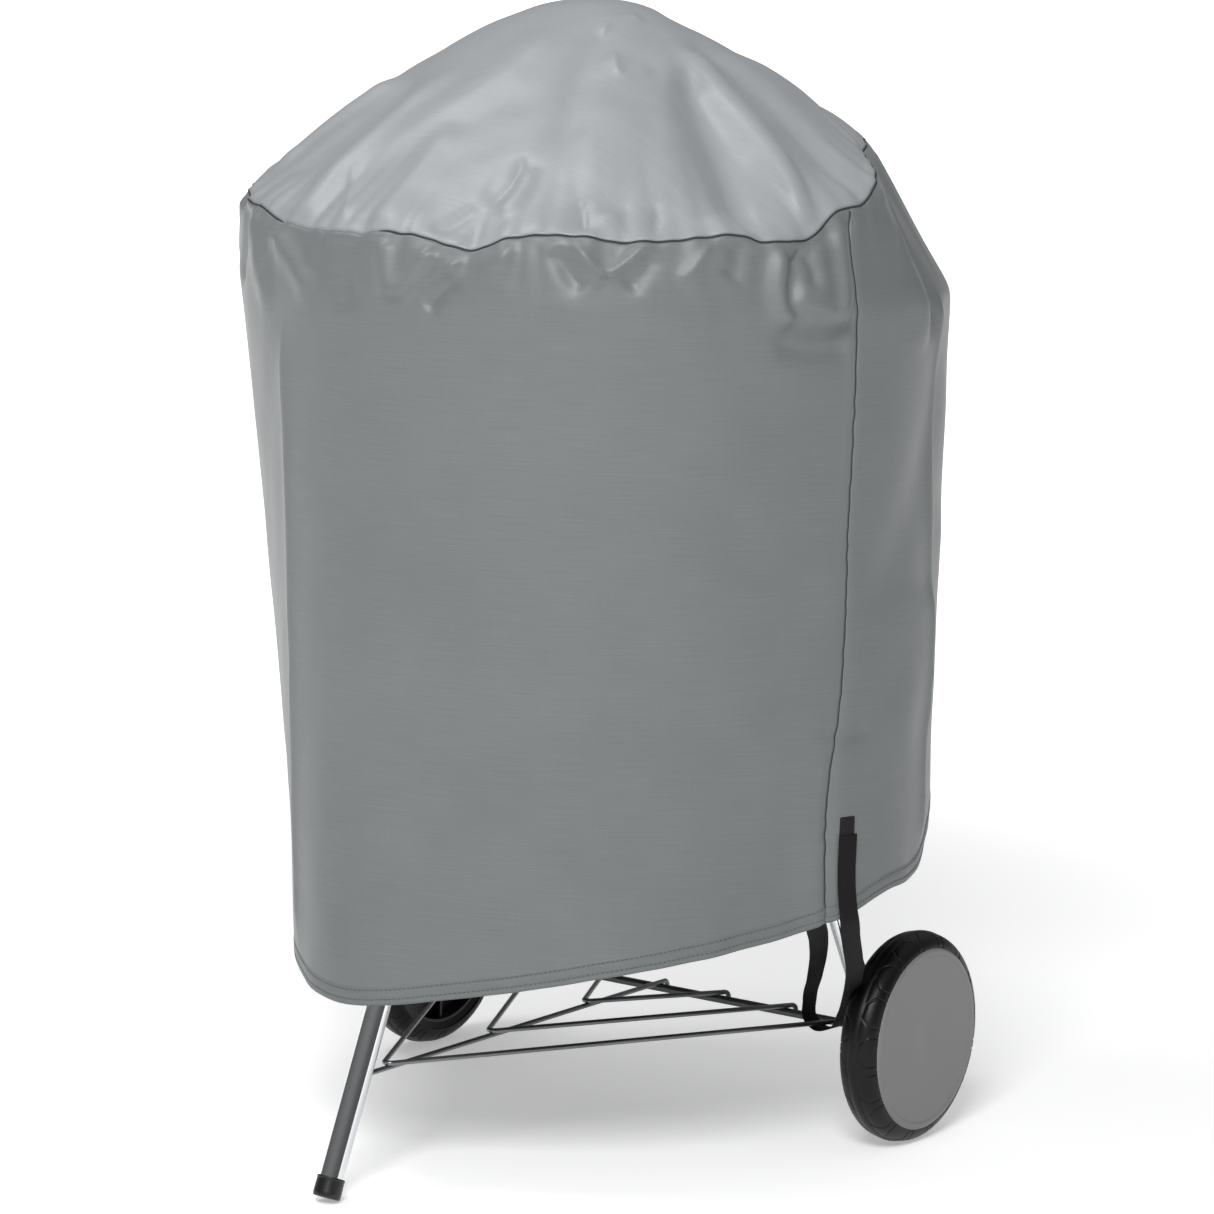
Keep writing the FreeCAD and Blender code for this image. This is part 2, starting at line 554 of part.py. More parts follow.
def make_wheels():
    """On each side a tyre on a ribbed hub, with a flat cap let into the tyre's outer side."""
    for sign, name in ((1, "right"), (-1, "left")):
        def at(offset):
            """Placement with local Z outwards along the axle, offset from the inner side."""
            return {"x": f"{sign} * ({WHEEL_INNER} + ({offset}))", "y": AXLE_Y,
                    "z": AXLE_HEIGHT, "axis": (0, 1, 0), "angle": str(90 * sign)}

        width = dim("tyre_width")
        blank = disc_body(f"{name}_tyre_blank", dim("wheel_radius"), width,
                          dim("tyre_shoulder"), **at("0"))
        bore = cylinder(f"{name}_tyre_bore", dim("tyre_bore"), width, **at("0"))
        seat = f"{width} - {dim('cap_disc_inset + cap_disc_thick')}"
        recess = cylinder(f"{name}_tyre_recess", dim("cap_disc_radius + seat_gap"),
                          dim("tyre_shoulder"), **at(seat))
        subpart(cut(f"{name}_tyre", blank, bore, recess), f"{name}_tyre")

        rim_start = f"({width} - {dim('hub_rim_width')}) / 2"
        rim = cut(f"{name}_hub_rim",
                  cylinder(f"{name}_rim_out", dim("tyre_bore"), dim("hub_rim_width"),
                           **at(rim_start)),
                  cylinder(f"{name}_rim_in", dim("tyre_bore - hub_rim"), dim("hub_rim_width"),
                           **at(rim_start)))
        web_start = dim("hub_length - boss_stand - hub_web - web_inset")
        web = cylinder(f"{name}_web", dim("tyre_bore - hub_rim / 2"), dim("hub_web"),
                       **at(web_start))
        boss = cylinder(f"{name}_boss", dim("hub_radius"), dim("hub_length"),
                        **at("0 - " + dim("boss_stand")))
        ribs = []
        for number in range(4):
            rib = box(f"{name}_rib", f"2 * {dim('tyre_bore - hub_rim / 2')}", dim("hub_rib"),
                      dim("hub_rim_width / 3"))
            angle = 45 * number
            long_half = dim("tyre_bore - hub_rim / 2")
            turn = (f"create(<<rotation>>; create(<<vector>>; 0; 1; 0); {90 * sign})"
                    f" * create(<<rotation>>; create(<<vector>>; 0; 0; 1); {angle})")
            local_x = f"(0 - {long_half} * cos({angle}) + {dim('hub_rib / 2')} * sin({angle}))"
            local_y = f"(0 - {long_half} * sin({angle}) - {dim('hub_rib / 2')} * cos({angle}))"
            start = f"({WHEEL_INNER} + {web_start} - {dim('hub_rim_width / 3 - hub_web / 4')})"
            rib.setExpression("Placement",
                              f"create(<<placement>>; create(<<vector>>; {sign} * {start};"
                              f" {AXLE_Y} + {local_y}; {AXLE_HEIGHT} - {sign} * {local_x});"
                              f" {turn})")
            ribs.append(rib)
        hole = cylinder(f"{name}_hub_bore", dim("axle_radius + axle_fit"), dim("2 * hub_length"),
                        **at(f"0 - {dim('hub_length / 2')}"))
        subpart(cut(f"{name}_hub", fuse(f"{name}_hub_solid", rim, web, boss, *ribs), hole),
                f"{name}_hub")
        subpart(disc_body(f"{name}_cap_disc", dim("cap_disc_radius"), dim("cap_disc_thick"),
                          dim("cap_disc_thick / 3"), **at(seat)), f"{name}_hub_cap")


def make_rack():
    """The spine wire and the three V wires that lie on it, all hooked over the axle."""
    radius = value(dim("wire_radius"))
    rest = value(RACK_Z)
    kettle = value(KETTLE_Y)
    axle = value(AXLE_Y)
    past = value(dim("hook_past"))
    low = rest - value(dim("hook_drop"))
    hook = value(dim("hook_bend"))
    splay = math.tan(math.radians(value(FRONT_SPLAY)))
    inside_leg = kettle - value(dim("foot_reach")) + splay * rest
    spine = bent_wire("spine", [Vector(0, inside_leg, rest), Vector(0, axle + past, rest),
                                Vector(0, axle + past, low)], radius, [hook])
    subpart(spine, "rack_spine")
    slope = value(VEE_SLOPE)
    for name in ("outer", "middle", "inner"):
        apex = kettle - value(dim(f"{name}_apex"))
        side = (axle + past - apex) * slope
        points = [Vector(-side, axle + past, low), Vector(-side, axle + past, rest),
                  Vector(0, apex, rest + 2 * radius), Vector(side, axle + past, rest),
                  Vector(side, axle + past, low)]
        wire = bent_wire(f"{name}_vee", points, radius, [hook, value(dim("apex_bend")), hook])
        subpart(wire, f"rack_{name}_vee")


# ------------------------------------------------------------------- inside the kettle
def bowl_inside(drop):
    """The bowl's inside radius at a depth below the rim."""
    return (f"({dim('bowl_radius - bowl_wall')}"
            f" * sqrt(1 - ({drop} / {dim('bowl_depth - bowl_wall')})^2))")


def make_grate(label, drop, ring_radius, pitches):
    """A ring with parallel rods that end in it, as many pitches to each side of the middle."""
    height = f"({dim('rim_height')} - {drop})"
    wire = dim("grate_wire")
    pieces = [torus(f"{label}_ring", ring_radius, wire, y=KETTLE_Y, z=height)]
    for number in range(-pitches, pitches + 1):
        across = f"({number} * {ring_radius} / {pitches + 1})"
        half = f"sqrt({ring_radius}^2 - {across}^2)"
        pieces.append(cylinder(f"{label}_rod", dim("grate_rod"), f"2 * {half}", x=across,
                               y=f"{KETTLE_Y} - {half}", z=height, axis=(1, 0, 0), angle="-90"))
    subpart(fuse(label, *pieces), label)


def make_inside():
    """Grates, the tabs of the cooking grate, and the sweeper with its bush."""
    gap = dim("seat_gap")
    wire = dim("grate_wire")
    cooking = f"({bowl_inside(dim('cooking_drop'))} - {wire} - {dim('4 * seat_gap')})"
    wall = bowl_inside(dim("charcoal_drop"))
    lean = (f"({dim('bowl_radius - bowl_wall')}^2 * {dim('charcoal_drop')}"
            f" / {dim('bowl_depth - bowl_wall')}^2 / {wall})")
    charcoal = f"({wall} - ({wire} + {gap}) * hypot(1; {lean}))"
    make_grate("cooking_grate", dim("cooking_drop"), cooking, pitches=9)
    make_grate("charcoal_grate", dim("charcoal_drop"), charcoal, pitches=7)
    tabs = []
    inner = half_ellipsoid("tab_limit", dim("bowl_radius - bowl_wall"),
                           dim("bowl_depth - bowl_wall"), dim("rim_height"), upper=False)
    for number in range(4):
        angle = 45 + 90 * number
        reach = f"({cooking} - {dim('tab_length')})"
        tab = box(f"tab_{number}", dim("3 * tab_length"), dim("tab_length"), dim("2 * bowl_wall"),
                  x=f"{reach} * cos({angle}) + {dim('tab_length / 2')} * sin({angle})",
                  y=f"{KETTLE_Y} + {reach} * sin({angle}) - {dim('tab_length / 2')} * cos({angle})",
                  z=dim("rim_height - cooking_drop - grate_wire - seat_gap - 2 * bowl_wall"),
                  angle=str(angle))
        tabs.append(common(f"tab_trimmed_{number}", tab, inner))
    subpart(group("tabs", *tabs), "grate_tabs")

    bush_out = dim("shaft_radius + axle_fit + bush_wall")
    bore_radius = dim("shaft_radius + axle_fit")
    bush = fuse("bush_solid",
                cylinder("bush_sleeve", bush_out, dim("3 * bush_wall + bowl_wall"), y=KETTLE_Y,
                         z=f"{BOWL_BOTTOM} - {dim('3 * bush_wall')}"),
                cylinder("bush_flange", f"{bush_out} + {dim('bush_wall')}", dim("bush_wall"),
                         y=KETTLE_Y, z=f"{BOWL_BOTTOM} - {dim('bush_wall')}"))
    bore = cylinder("bush_bore", bore_radius, dim("8 * bush_wall"), y=KETTLE_Y,
                    z=f"{BOWL_BOTTOM} - {dim('4 * bush_wall')}")
    subpart(cut("bush", bush, bore, bowl_outer_skin()), "sweeper_bush")

    below = half_ellipsoid("blade_below", dim("bowl_radius - bowl_wall - seat_gap"),
                           dim("bowl_depth - bowl_wall - seat_gap"), dim("rim_height"),
                           upper=False)
    above = half_ellipsoid("blade_above",
                           dim("bowl_radius - bowl_wall - seat_gap - blade_thick"),
                           dim("bowl_depth - bowl_wall - seat_gap - blade_thick"),
                           dim("rim_height"), upper=False)
    arms = []
    for number in range(3):
        angle = 90 + 120 * number
        arms.append(box(f"blade_{number}", dim("blade_reach"), dim("blade_width"),
                        dim("bowl_depth / 2"),
                        x=f"{dim('blade_width / 2')} * sin({angle})",
                        y=f"{KETTLE_Y} - {dim('blade_width / 2')} * cos({angle})",
                        z=f"{BOWL_BOTTOM} - {dim('bowl_wall')}", angle=str(angle)))
    strips = common("blade_strips", fuse("blade_plan", *arms), cut("blade_skin", below, above))
    floor = f"({BOWL_BOTTOM} + {dim('bowl_wall + seat_gap')})"
    boss = cylinder("blade_boss", dim("2 * shaft_radius"), dim("4 * blade_thick"), y=KETTLE_Y,
                    z=floor)
    boss_above = common("blade_boss_trimmed", boss, below)
    subpart(fuse("blades", strips, boss_above), "sweeper_blades")
    lever_z = f"({BOWL_BOTTOM} - {dim('lever_drop')})"
    subpart(cylinder("shaft", dim("shaft_radius"), f"{floor} - {lever_z} - {dim('bush_wall')}",
                     y=KETTLE_Y, z=f"{lever_z} + {dim('bush_wall')}"), "sweeper_shaft")
    arm = box("lever_arm", dim("lever_reach"), dim("4 * bush_wall"), dim("bush_wall"),
              x=f"0 - {dim('2 * bush_wall')}", y=KETTLE_Y, z=lever_z)
    arm_turned = place(arm, x=dim("2 * bush_wall"), y=KETTLE_Y, z=lever_z, angle="90")
    eye = cylinder("lever_eye", dim("2 * shaft_radius"), dim("bush_wall"), y=KETTLE_Y, z=lever_z)
    knob = cylinder("lever_knob", dim("3 * bush_wall"), dim("3 * bush_wall"),
                    y=f"{KETTLE_Y} + {dim('lever_reach')}", z=f"{lever_z} - {dim('bush_wall')}")
    subpart(fuse("lever", arm_turned, eye, knob), "sweeper_lever")


def bowl_outer_skin():
    """The bowl's sheet above its bottom, which the bush's flange bears against."""
    outer = half_ellipsoid("skin_outer", dim("bowl_radius"), dim("bowl_depth"),
                           dim("rim_height"), upper=False)
    hole = cylinder("skin_hole", dim("shaft_radius + axle_fit + bush_wall"), MARGIN,
                    y=KETTLE_Y)
    return cut("bowl_skin", outer, hole)


def make_ash_pan(leg_solids):
    """A dish between the legs, on a wire ring whose three spokes end at the legs."""
    wall = dim("bowl_wall")
    outer = make("Part::Cone", "pan_outer", Radius1=dim("pan_floor_radius"),
                 Radius2=dim("pan_top_radius"), Height=dim("pan_depth"))
    place(outer, y=KETTLE_Y, z=PAN_HEIGHT)
    inner = make("Part::Cone", "pan_inner", Radius1=dim("pan_floor_radius - bowl_wall"),
                 Radius2=dim("pan_top_radius - bowl_wall"), Height=dim("pan_depth"))
    place(inner, y=KETTLE_Y, z=f"{PAN_HEIGHT} + {wall}")
    bead = torus("pan_bead", dim("pan_top_radius"), wall, y=KETTLE_Y,
                 z=f"{PAN_HEIGHT} + {dim('pan_depth')}")
    subpart(fuse("pan", cut("pan_shell", outer, inner), bead), "ash_pan")

    height = f"({PAN_HEIGHT} - {dim('wire_radius + seat_gap')})"
    ring = torus("hanger_ring", dim("hanger_radius"), dim("wire_radius"), y=KETTLE_Y, z=height)
    spokes = []
    for side in (0, 1, -1):
        foot, top = leg_line(side)
        share = f"(({height} - {foot[2]}) / ({top[2]} - {foot[2]}))"
        end = [f"({a} + ({b} - {a}) * {share})" for a, b in zip(foot[:2], top[:2])] + [height]
        across = [end[0], f"({end[1]} - {KETTLE_Y})"]
        reach = f"hypot({across[0]}; {across[1]})"
        start = [f"({across[0]} / {reach} * {dim('hanger_radius')})",
                 f"({KETTLE_Y} + {across[1]} / {reach} * {dim('hanger_radius')})", height]
        spoke = rod(f"spoke_{side}", dim("wire_radius"), start, end)
        spokes.append(cut(f"spoke_trimmed_{side}", spoke, leg_solids[side]))
    subpart(fuse("hanger", ring, *spokes), "ash_pan_hanger")


# ------------------------------------------------------------------- cover
def oval(name, grow, height):
    """The cover's oval outline, grown outwards, at a height."""
    return place(make("Part::Ellipse", name, MajorRadius=f"{COVER_HALF_WIDTH} + {grow}",
                      MinorRadius=f"{COVER_HALF_DEPTH} + {grow}"), y=KETTLE_Y, z=height)


def oval_prism(name, grow, low, height):
    """A solid oval prism."""
    obj = make("Part::Extrusion", name, LengthFwd=height)
    obj.Base = oval(f"{name}_outline", grow, low)
    obj.DirMode = "Custom"
    obj.Dir = Vector(0, 0, 1)
    obj.Solid = True
    return obj


def frustum(name, grow, low, high, crown_shrink):
    """The top panel's solid: an oval crown over the lid handle, a shoulder, and the rim seam."""
    crown = place(make("Part::Ellipse", f"{name}_crown",
                       MajorRadius=f"{dim('crown_half_length')} - {crown_shrink}",
                       MinorRadius=f"{dim('crown_half_width')} - {crown_shrink}"),
                  y=KETTLE_Y, z=high)
    shoulder = place(make("Part::Ellipse", f"{name}_shoulder",
                          MajorRadius=f"{dim('shoulder_long_share * bowl_radius')} - {crown_shrink}",
                          MinorRadius=f"{dim('shoulder_short_share * bowl_radius')} - {crown_shrink}"),
                     y=KETTLE_Y, z=dim("rim_height + shoulder_rise"))
    obj = doc.addObject("Part::Loft", name)
    obj.Sections = [oval(f"{name}_edge", grow, low), shoulder, crown]
    obj.Solid = True
    obj.Ruled = True
    return obj


def make_cover():
    """Top, front and rear panels, patches, straps and rivets."""
    cloth = dim("cloth")
    seam = dim("rim_height + seam_rise")
    crown_under = f"({LID_GRIP_TOP} + {dim('seat_gap')})"
    outer_top = frustum("top_outer", cloth, seam, f"{crown_under} + {cloth}", "0")
    inner_top = frustum("top_inner", "0", seam, crown_under, cloth)
    subpart(cut("top_panel", outer_top, inner_top), "cover_top_panel")

    low = dim("hem_front / 2")
    height = f"{seam} - {low}"
    wall = cut("wall", oval_prism("wall_outer", cloth, low, height),
               oval_prism("wall_inner", "0", low, height))
    slope = f"atan2({dim('hem_back - hem_front')}; 2 * {COVER_HALF_DEPTH})"
    front_edge = f"({KETTLE_Y} - {COVER_HALF_DEPTH})"
    ahead = dim("2 * front_slack")
    below_hem = box("below_hem", MARGIN, MARGIN, MARGIN, x=f"{-MARGIN / 2}",
                    y=f"{front_edge} - {ahead} * cos({slope}) + {MARGIN} * sin({slope})",
                    z=f"{dim('hem_front')} - {ahead} * sin({slope}) - {MARGIN} * cos({slope})",
                    axis=(1, 0, 0), angle=slope)
    hung = cut("wall_hung", wall, below_hem)
    seam_y = f"({KETTLE_Y} + {dim('side_seam')})"
    front_half = box("front_half", MARGIN, MARGIN, MARGIN, x=f"{-MARGIN / 2}",
                     y=f"{seam_y} - {MARGIN}")
    rear_half = box("rear_half", MARGIN, MARGIN, MARGIN, x=f"{-MARGIN / 2}", y=seam_y)
    subpart(common("front_panel", hung, front_half), "cover_front_panel")
    subpart(common("rear_panel", hung, rear_half), "cover_rear_panel")

    patch_thick = dim("patch_thick")
    patch_ring = cut("patch_ring",
                     oval_prism("patch_outer", f"{cloth} + {patch_thick}", low, height),
                     oval_prism("patch_inner", cloth, low, height))
    strip_ring = cut("strip_ring",
                     oval_prism("strip_outer", f"{cloth} + {patch_thick} + {dim('strap_thick')}",
                                low, height),
                     oval_prism("strip_inner", f"{cloth} + {patch_thick}", low, height))
    strap_y = f"({KETTLE_Y} + {dim('strap_place')})"
    hem_there = (f"({dim('hem_front')} + ({COVER_HALF_DEPTH} + {dim('strap_place')})"
                 f" * tan({slope}))")
    for sign, name in ((1, "right"), (-1, "left")):
        start = "0" if sign > 0 else f"{-MARGIN}"
        size = dim("patch_size")
        patch_box = box(f"{name}_patch_box", MARGIN, size, size, x=start,
                        y=f"{strap_y} - {size} / 2", z=dim("patch_low"))
        subpart(common(f"{name}_patch", patch_ring, patch_box), f"{name}_hook_patch")
        strip_box = box(f"{name}_strip_box", MARGIN, dim("strap_width"),
                        f"{dim('patch_low')} + {size} - {hem_there} + {dim('strap_width')}",
                        x=start, y=f"{strap_y} - {dim('strap_width / 2')}",
                        z=f"{hem_there} - {dim('strap_width')}")
        strip = common(f"{name}_strip", strip_ring, strip_box)
        loop, rivet = strap_loop(name, sign, value(hem_there))
        subpart(fuse(f"{name}_strap_solid", strip, loop), f"{name}_strap")
        subpart(rivet, f"{name}_strap_rivet")


def strap_loop(name, sign, hem):
    """The strap from the hem down round the outer V wire and back up inside, and its rivet."""
    kettle = value(KETTLE_Y)
    place_y = value(dim("strap_place"))
    thick = value(dim("strap_thick"))
    width = value(dim("strap_width"))
    loop = value(dim("strap_loop"))
    grown = value(dim("cloth + patch_thick")) + thick
    half_width = value(COVER_HALF_WIDTH) + grown
    half_depth = value(COVER_HALF_DEPTH) + grown
    outside = Vector(half_width * math.sqrt(1 - (place_y / half_depth) ** 2), kettle + place_y, 0)
    share = value(dim("strap_wire_share"))
    apex = kettle - value(dim("outer_apex"))
    arm = (value(AXLE_Y) - apex) * share
    slope = value(VEE_SLOPE)
    wire = Vector(arm * slope, apex + arm, 0)
    inward = (wire - outside).normalize()
    reach = (wire - outside).Length
    low = value(RACK_Z) - value(dim("wire_radius")) - thick - value(dim("seat_gap"))
    top = hem - value(dim("strap_width")) / 2
    opening = value(dim("strap_open"))
    outline = [(0, top), (reach - loop / 2, low), (reach + loop / 2, low), (opening, top)]
    points = [outside + inward * along + Vector(0, 0, height) for along, height in outline]
    band = Part.makePolygon(points).makeOffset2D(thick, 2, True, True)
    across = inward.cross(Vector(0, 0, 1)).normalize() * width
    band.translate(across * -0.5)
    webbing = band.extrude(across)
    rise = (points[3] - points[2]).normalize()
    face = across.cross(rise).normalize()
    spot = points[3] - rise * width
    if webbing.isInside(spot + face * (thick / 2), value(dim("axle_fit")), False):
        face = -face
    head = Part.makeCylinder(value(dim("rivet_radius")), thick / 2, spot, face)
    pieces = []
    for kind, solid in (("loop", webbing), ("rivet", head)):
        if sign < 0:
            solid = solid.mirror(Vector(0, 0, 0), Vector(1, 0, 0))
        piece = doc.addObject("Part::Feature", f"{name}_strap_{kind}")
        piece.Shape = solid
        pieces.append(piece)
    return pieces


def check_and_write():
    """Refuse a failed object, then write each sub-part to its own STEP file."""
    doc.recompute()
    for obj in doc.Objects:
        if "Invalid" in obj.State or "Error" in obj.State:
            raise RuntimeError(f"{obj.Name} ({obj.Label}) failed: {obj.State}")
    for obj in SUBPARTS:
        if obj.Shape.isNull() or not obj.Shape.isValid() or not obj.Shape.Solids:
            raise RuntimeError(f"{obj.Label} has no valid solid")
    os.makedirs("parts", exist_ok=True)
    for obj in SUBPARTS:
        obj.Shape.exportStep(f"parts/{obj.Label}.step")
        bounds = obj.Shape.optimalBoundingBox(False)
        print(f"{obj.Label}: {len(obj.Shape.Solids)} solid(s), {obj.Shape.Volume:.0f} mm3, "
              f"x {bounds.XMin:.1f}..{bounds.XMax:.1f} y {bounds.YMin:.1f}..{bounds.YMax:.1f} "
              f"z {bounds.ZMin:.1f}..{bounds.ZMax:.1f}")


bowl_outer = make_bowl()
leg_solids = make_legs(bowl_outer)
make_foot_cap()
make_bowl_handles(bowl_outer)
make_lid()
make_axle()
make_wheels()
make_rack()
make_inside()
make_ash_pan(leg_solids)
make_cover()
check_and_write()
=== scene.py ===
"""Looks of a fitted fabric cover that hangs over a round three-legged kettle grill.

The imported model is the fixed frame. The cloth, straps, tyres, hub caps and the foot cap are
modelled here around it, and every other piece keeps its shape and gets its finish here.
Everything is in metres. The kettle's axis is vertical, the front leg points towards -Y and
the wheels stand at +X and -X. An azimuth is measured from +X towards +Y, in degrees.
"""
from __future__ import annotations

import logging
import math
from collections.abc import Iterable
from dataclasses import dataclass, field
from enum import Enum

import bpy
import numpy as np
from mathutils import Matrix, Vector

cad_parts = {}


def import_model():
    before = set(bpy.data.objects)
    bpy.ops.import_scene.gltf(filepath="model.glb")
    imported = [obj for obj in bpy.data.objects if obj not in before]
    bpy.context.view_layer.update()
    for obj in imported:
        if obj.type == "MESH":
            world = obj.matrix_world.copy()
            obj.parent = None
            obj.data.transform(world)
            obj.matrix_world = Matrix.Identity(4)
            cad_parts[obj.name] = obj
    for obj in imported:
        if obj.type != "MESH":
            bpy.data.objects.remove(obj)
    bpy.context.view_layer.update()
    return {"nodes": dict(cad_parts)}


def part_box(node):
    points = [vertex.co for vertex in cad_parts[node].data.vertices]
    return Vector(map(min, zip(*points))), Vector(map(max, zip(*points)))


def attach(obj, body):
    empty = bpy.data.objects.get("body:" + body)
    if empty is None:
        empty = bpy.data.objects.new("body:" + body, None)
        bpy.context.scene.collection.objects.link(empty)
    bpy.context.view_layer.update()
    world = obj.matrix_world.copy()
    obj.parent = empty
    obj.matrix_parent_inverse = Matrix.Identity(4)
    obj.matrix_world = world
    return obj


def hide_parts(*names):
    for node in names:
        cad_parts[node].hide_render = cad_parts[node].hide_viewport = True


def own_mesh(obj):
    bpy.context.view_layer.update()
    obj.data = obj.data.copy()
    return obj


LOG = logging.getLogger("grill_cover")
MM = 0.001


class Side(Enum):
    """The two sides of the grill that carry a wheel, a strap and a handle each."""

    RIGHT = 1
    LEFT = -1

    @property
    def word(self) -> str:
        """The side's name as it stands in the names of pieces."""
        return self.name.lower()


class Body(str, Enum):
    """The bodies that move as one, as the frame names them."""

    STAND = "stand"
    COVER = "cover"
    RIGHT_WHEEL = "right_wheel"
    LEFT_WHEEL = "left_wheel"


# ---------------------------------------------------------------- shaders


def linear(hex_colour: str, alpha: float = 1.0) -> tuple[float, float, float, float]:
    """Turns an sRGB colour into the linear values that a shader takes.

    Args:
        hex_colour: Six hex digits, without a leading sign.
        alpha: The fourth value.

    Returns:
        Linear red, green and blue, and alpha.
    """
    channels = [int(hex_colour[i:i + 2], 16) / 255 for i in (0, 2, 4)]
    values = [c / 12.92 if c <= 0.04045 else ((c + 0.055) / 1.055) ** 2.4 for c in channels]
    return values[0], values[1], values[2], alpha


def add_node(tree: bpy.types.NodeTree, kind: str, inputs: dict | None = None,
             **settings: object) -> bpy.types.Node:
    """Adds a node with its settings, its values and its links.

    Args:
        tree: The node tree that gets the node.
        kind: Blender's name of the node's class.
        inputs: Values or output sockets by the name or number of the input.
        settings: Properties of the node.

    Returns:
        The new node.
    """
    node = tree.nodes.new(kind)
    for name, value in settings.items():
        setattr(node, name, value)
    for key, value in (inputs or {}).items():
        if isinstance(value, bpy.types.NodeSocket):
            tree.links.new(value, node.inputs[key])
        else:
            node.inputs[key].default_value = value
    return node


@dataclass(frozen=True)
class Finish:
    """What every finish has: its colour, its gloss and how it is made into a material."""

    name: str
    colour: str
    roughness: float
    metallic: float = 0.0
    specular: float = 0.5

    def build(self) -> bpy.types.Material:
        """Makes the material.

        Returns:
            The material, with its colour, relief and roughness worked out by nodes.
        """
        material = bpy.data.materials.new(self.name)
        material.use_nodes = True
        tree = material.node_tree
        tree.nodes.clear()
        shader = add_node(tree, "ShaderNodeBsdfPrincipled", {
            "Base Color": linear(self.colour), "Roughness": self.roughness,
            "Metallic": self.metallic, "Specular IOR Level": self.specular})
        output = add_node(tree, "ShaderNodeOutputMaterial", {"Surface": shader.outputs[0]})
        output.is_active_output = True
        self.dress(tree, shader)
        return material

    def dress(self, tree: bpy.types.NodeTree, shader: bpy.types.Node) -> None:
        """Adds the finish's own detail to the shader.

        Args:
            tree: The material's node tree.
            shader: The shader that takes the detail.
        """

    @staticmethod
    def place(tree: bpy.types.NodeTree, scale: tuple[float, float, float],
              space: str = "Object") -> bpy.types.NodeSocket:
        """Gives a place on the piece, stretched by a scale.

        Args:
            tree: The material's node tree.
            scale: How many pattern units there are to a metre, along each axis.
            space: "Object" for the piece's own space, or "UV" for its cut cloth.

        Returns:
            The socket that holds the place.
        """
        where = add_node(tree, "ShaderNodeTexCoord")
        mapping = add_node(tree, "ShaderNodeMapping",
                           {"Vector": where.outputs[space], "Scale": scale})
        return mapping.outputs[0]

    def vary(self, tree: bpy.types.NodeTree, shader: bpy.types.Node, factor: bpy.types.NodeSocket,
             dark: str, light: str) -> None:
        """Lets the colour run between two values as a pattern says.

        Args:
            tree: The material's node tree.
            shader: The shader whose colour is set.
            factor: The pattern, from 0 to 1.
            dark: The colour where the pattern is low.
            light: The colour where the pattern is high.
        """
        ramp = add_node(tree, "ShaderNodeValToRGB", {"Fac": factor})
        for element, position, colour in zip(ramp.color_ramp.elements, (0.3, 0.7), (dark, light)):
            element.position = position
            element.color = linear(colour)
        tree.links.new(ramp.outputs["Color"], shader.inputs["Base Color"])


@dataclass(frozen=True)
class CoatedPolyester(Finish):
    """Polyester cloth, plain woven and coated, with a satin gloss.

    The eye sees a fine thread grain with thicker threads here and there, and a soft sheen.
    The threads are 0.5 mm apart, drawn 1.5 mm apart so that they show.
    """

    dark: str = "676B6C"
    light: str = "747879"
    thread: float = 1.5 * MM
    slub_length: float = 60 * MM
    warp_show: float = 0.3

    def dress(self, tree: bpy.types.NodeTree, shader: bpy.types.Node) -> None:
        """Weaves the grain, the thicker threads and the faint mottle of the coating."""
        across, along = 1 / self.thread, 1 / self.slub_length
        weft = add_node(tree, "ShaderNodeTexNoise", {
            "Vector": self.place(tree, (along, across, 1), "UV"), "Scale": 1.0,
            "Detail": 2.0, "Roughness": 0.6})
        warp = add_node(tree, "ShaderNodeTexNoise", {
            "Vector": self.place(tree, (across, along, 1), "UV"), "Scale": 1.0,
            "Detail": 2.0, "Roughness": 0.6})
        mottle = add_node(tree, "ShaderNodeTexNoise", {
            "Vector": self.place(tree, (1, 1, 1)), "Scale": 9.0, "Detail": 4.0,
            "Roughness": 0.55})
        threads = add_node(tree, "ShaderNodeMath", {0: warp.outputs["Fac"], 1: self.warp_show,
                                                    2: weft.outputs["Fac"]},
                           operation="MULTIPLY_ADD")
        cloth = add_node(tree, "ShaderNodeMath", {0: threads.outputs[0],
                                                  1: mottle.outputs["Fac"]}, operation="ADD")
        share = add_node(tree, "ShaderNodeMath", {0: cloth.outputs[0],
                                                  1: 1 / (2 + self.warp_show)},
                         operation="MULTIPLY")
        self.vary(tree, shader, share.outputs[0], self.dark, self.light)
        relief = add_node(tree, "ShaderNodeBump", {
            "Height": threads.outputs[0], "Strength": 0.22, "Distance": 0.25 * MM})
        crinkle = add_node(tree, "ShaderNodeTexNoise", {
            "Vector": self.place(tree, (1, 1, 1)), "Scale": 34.0, "Detail": 3.0,
            "Roughness": 0.5, "Distortion": 0.4})
        soft = add_node(tree, "ShaderNodeBump", {
            "Height": crinkle.outputs["Fac"], "Strength": 0.28, "Distance": 1.6 * MM,
            "Normal": relief.outputs[0]})
        tree.links.new(soft.outputs[0], shader.inputs["Normal"])
        gloss = add_node(tree, "ShaderNodeMapRange", {
            "Value": mottle.outputs["Fac"], "To Min": self.roughness - 0.05,
            "To Max": self.roughness + 0.06})
        tree.links.new(gloss.outputs[0], shader.inputs["Roughness"])
        shader.inputs["Sheen Weight"].default_value = 0.12
        shader.inputs["Sheen Roughness"].default_value = 0.45


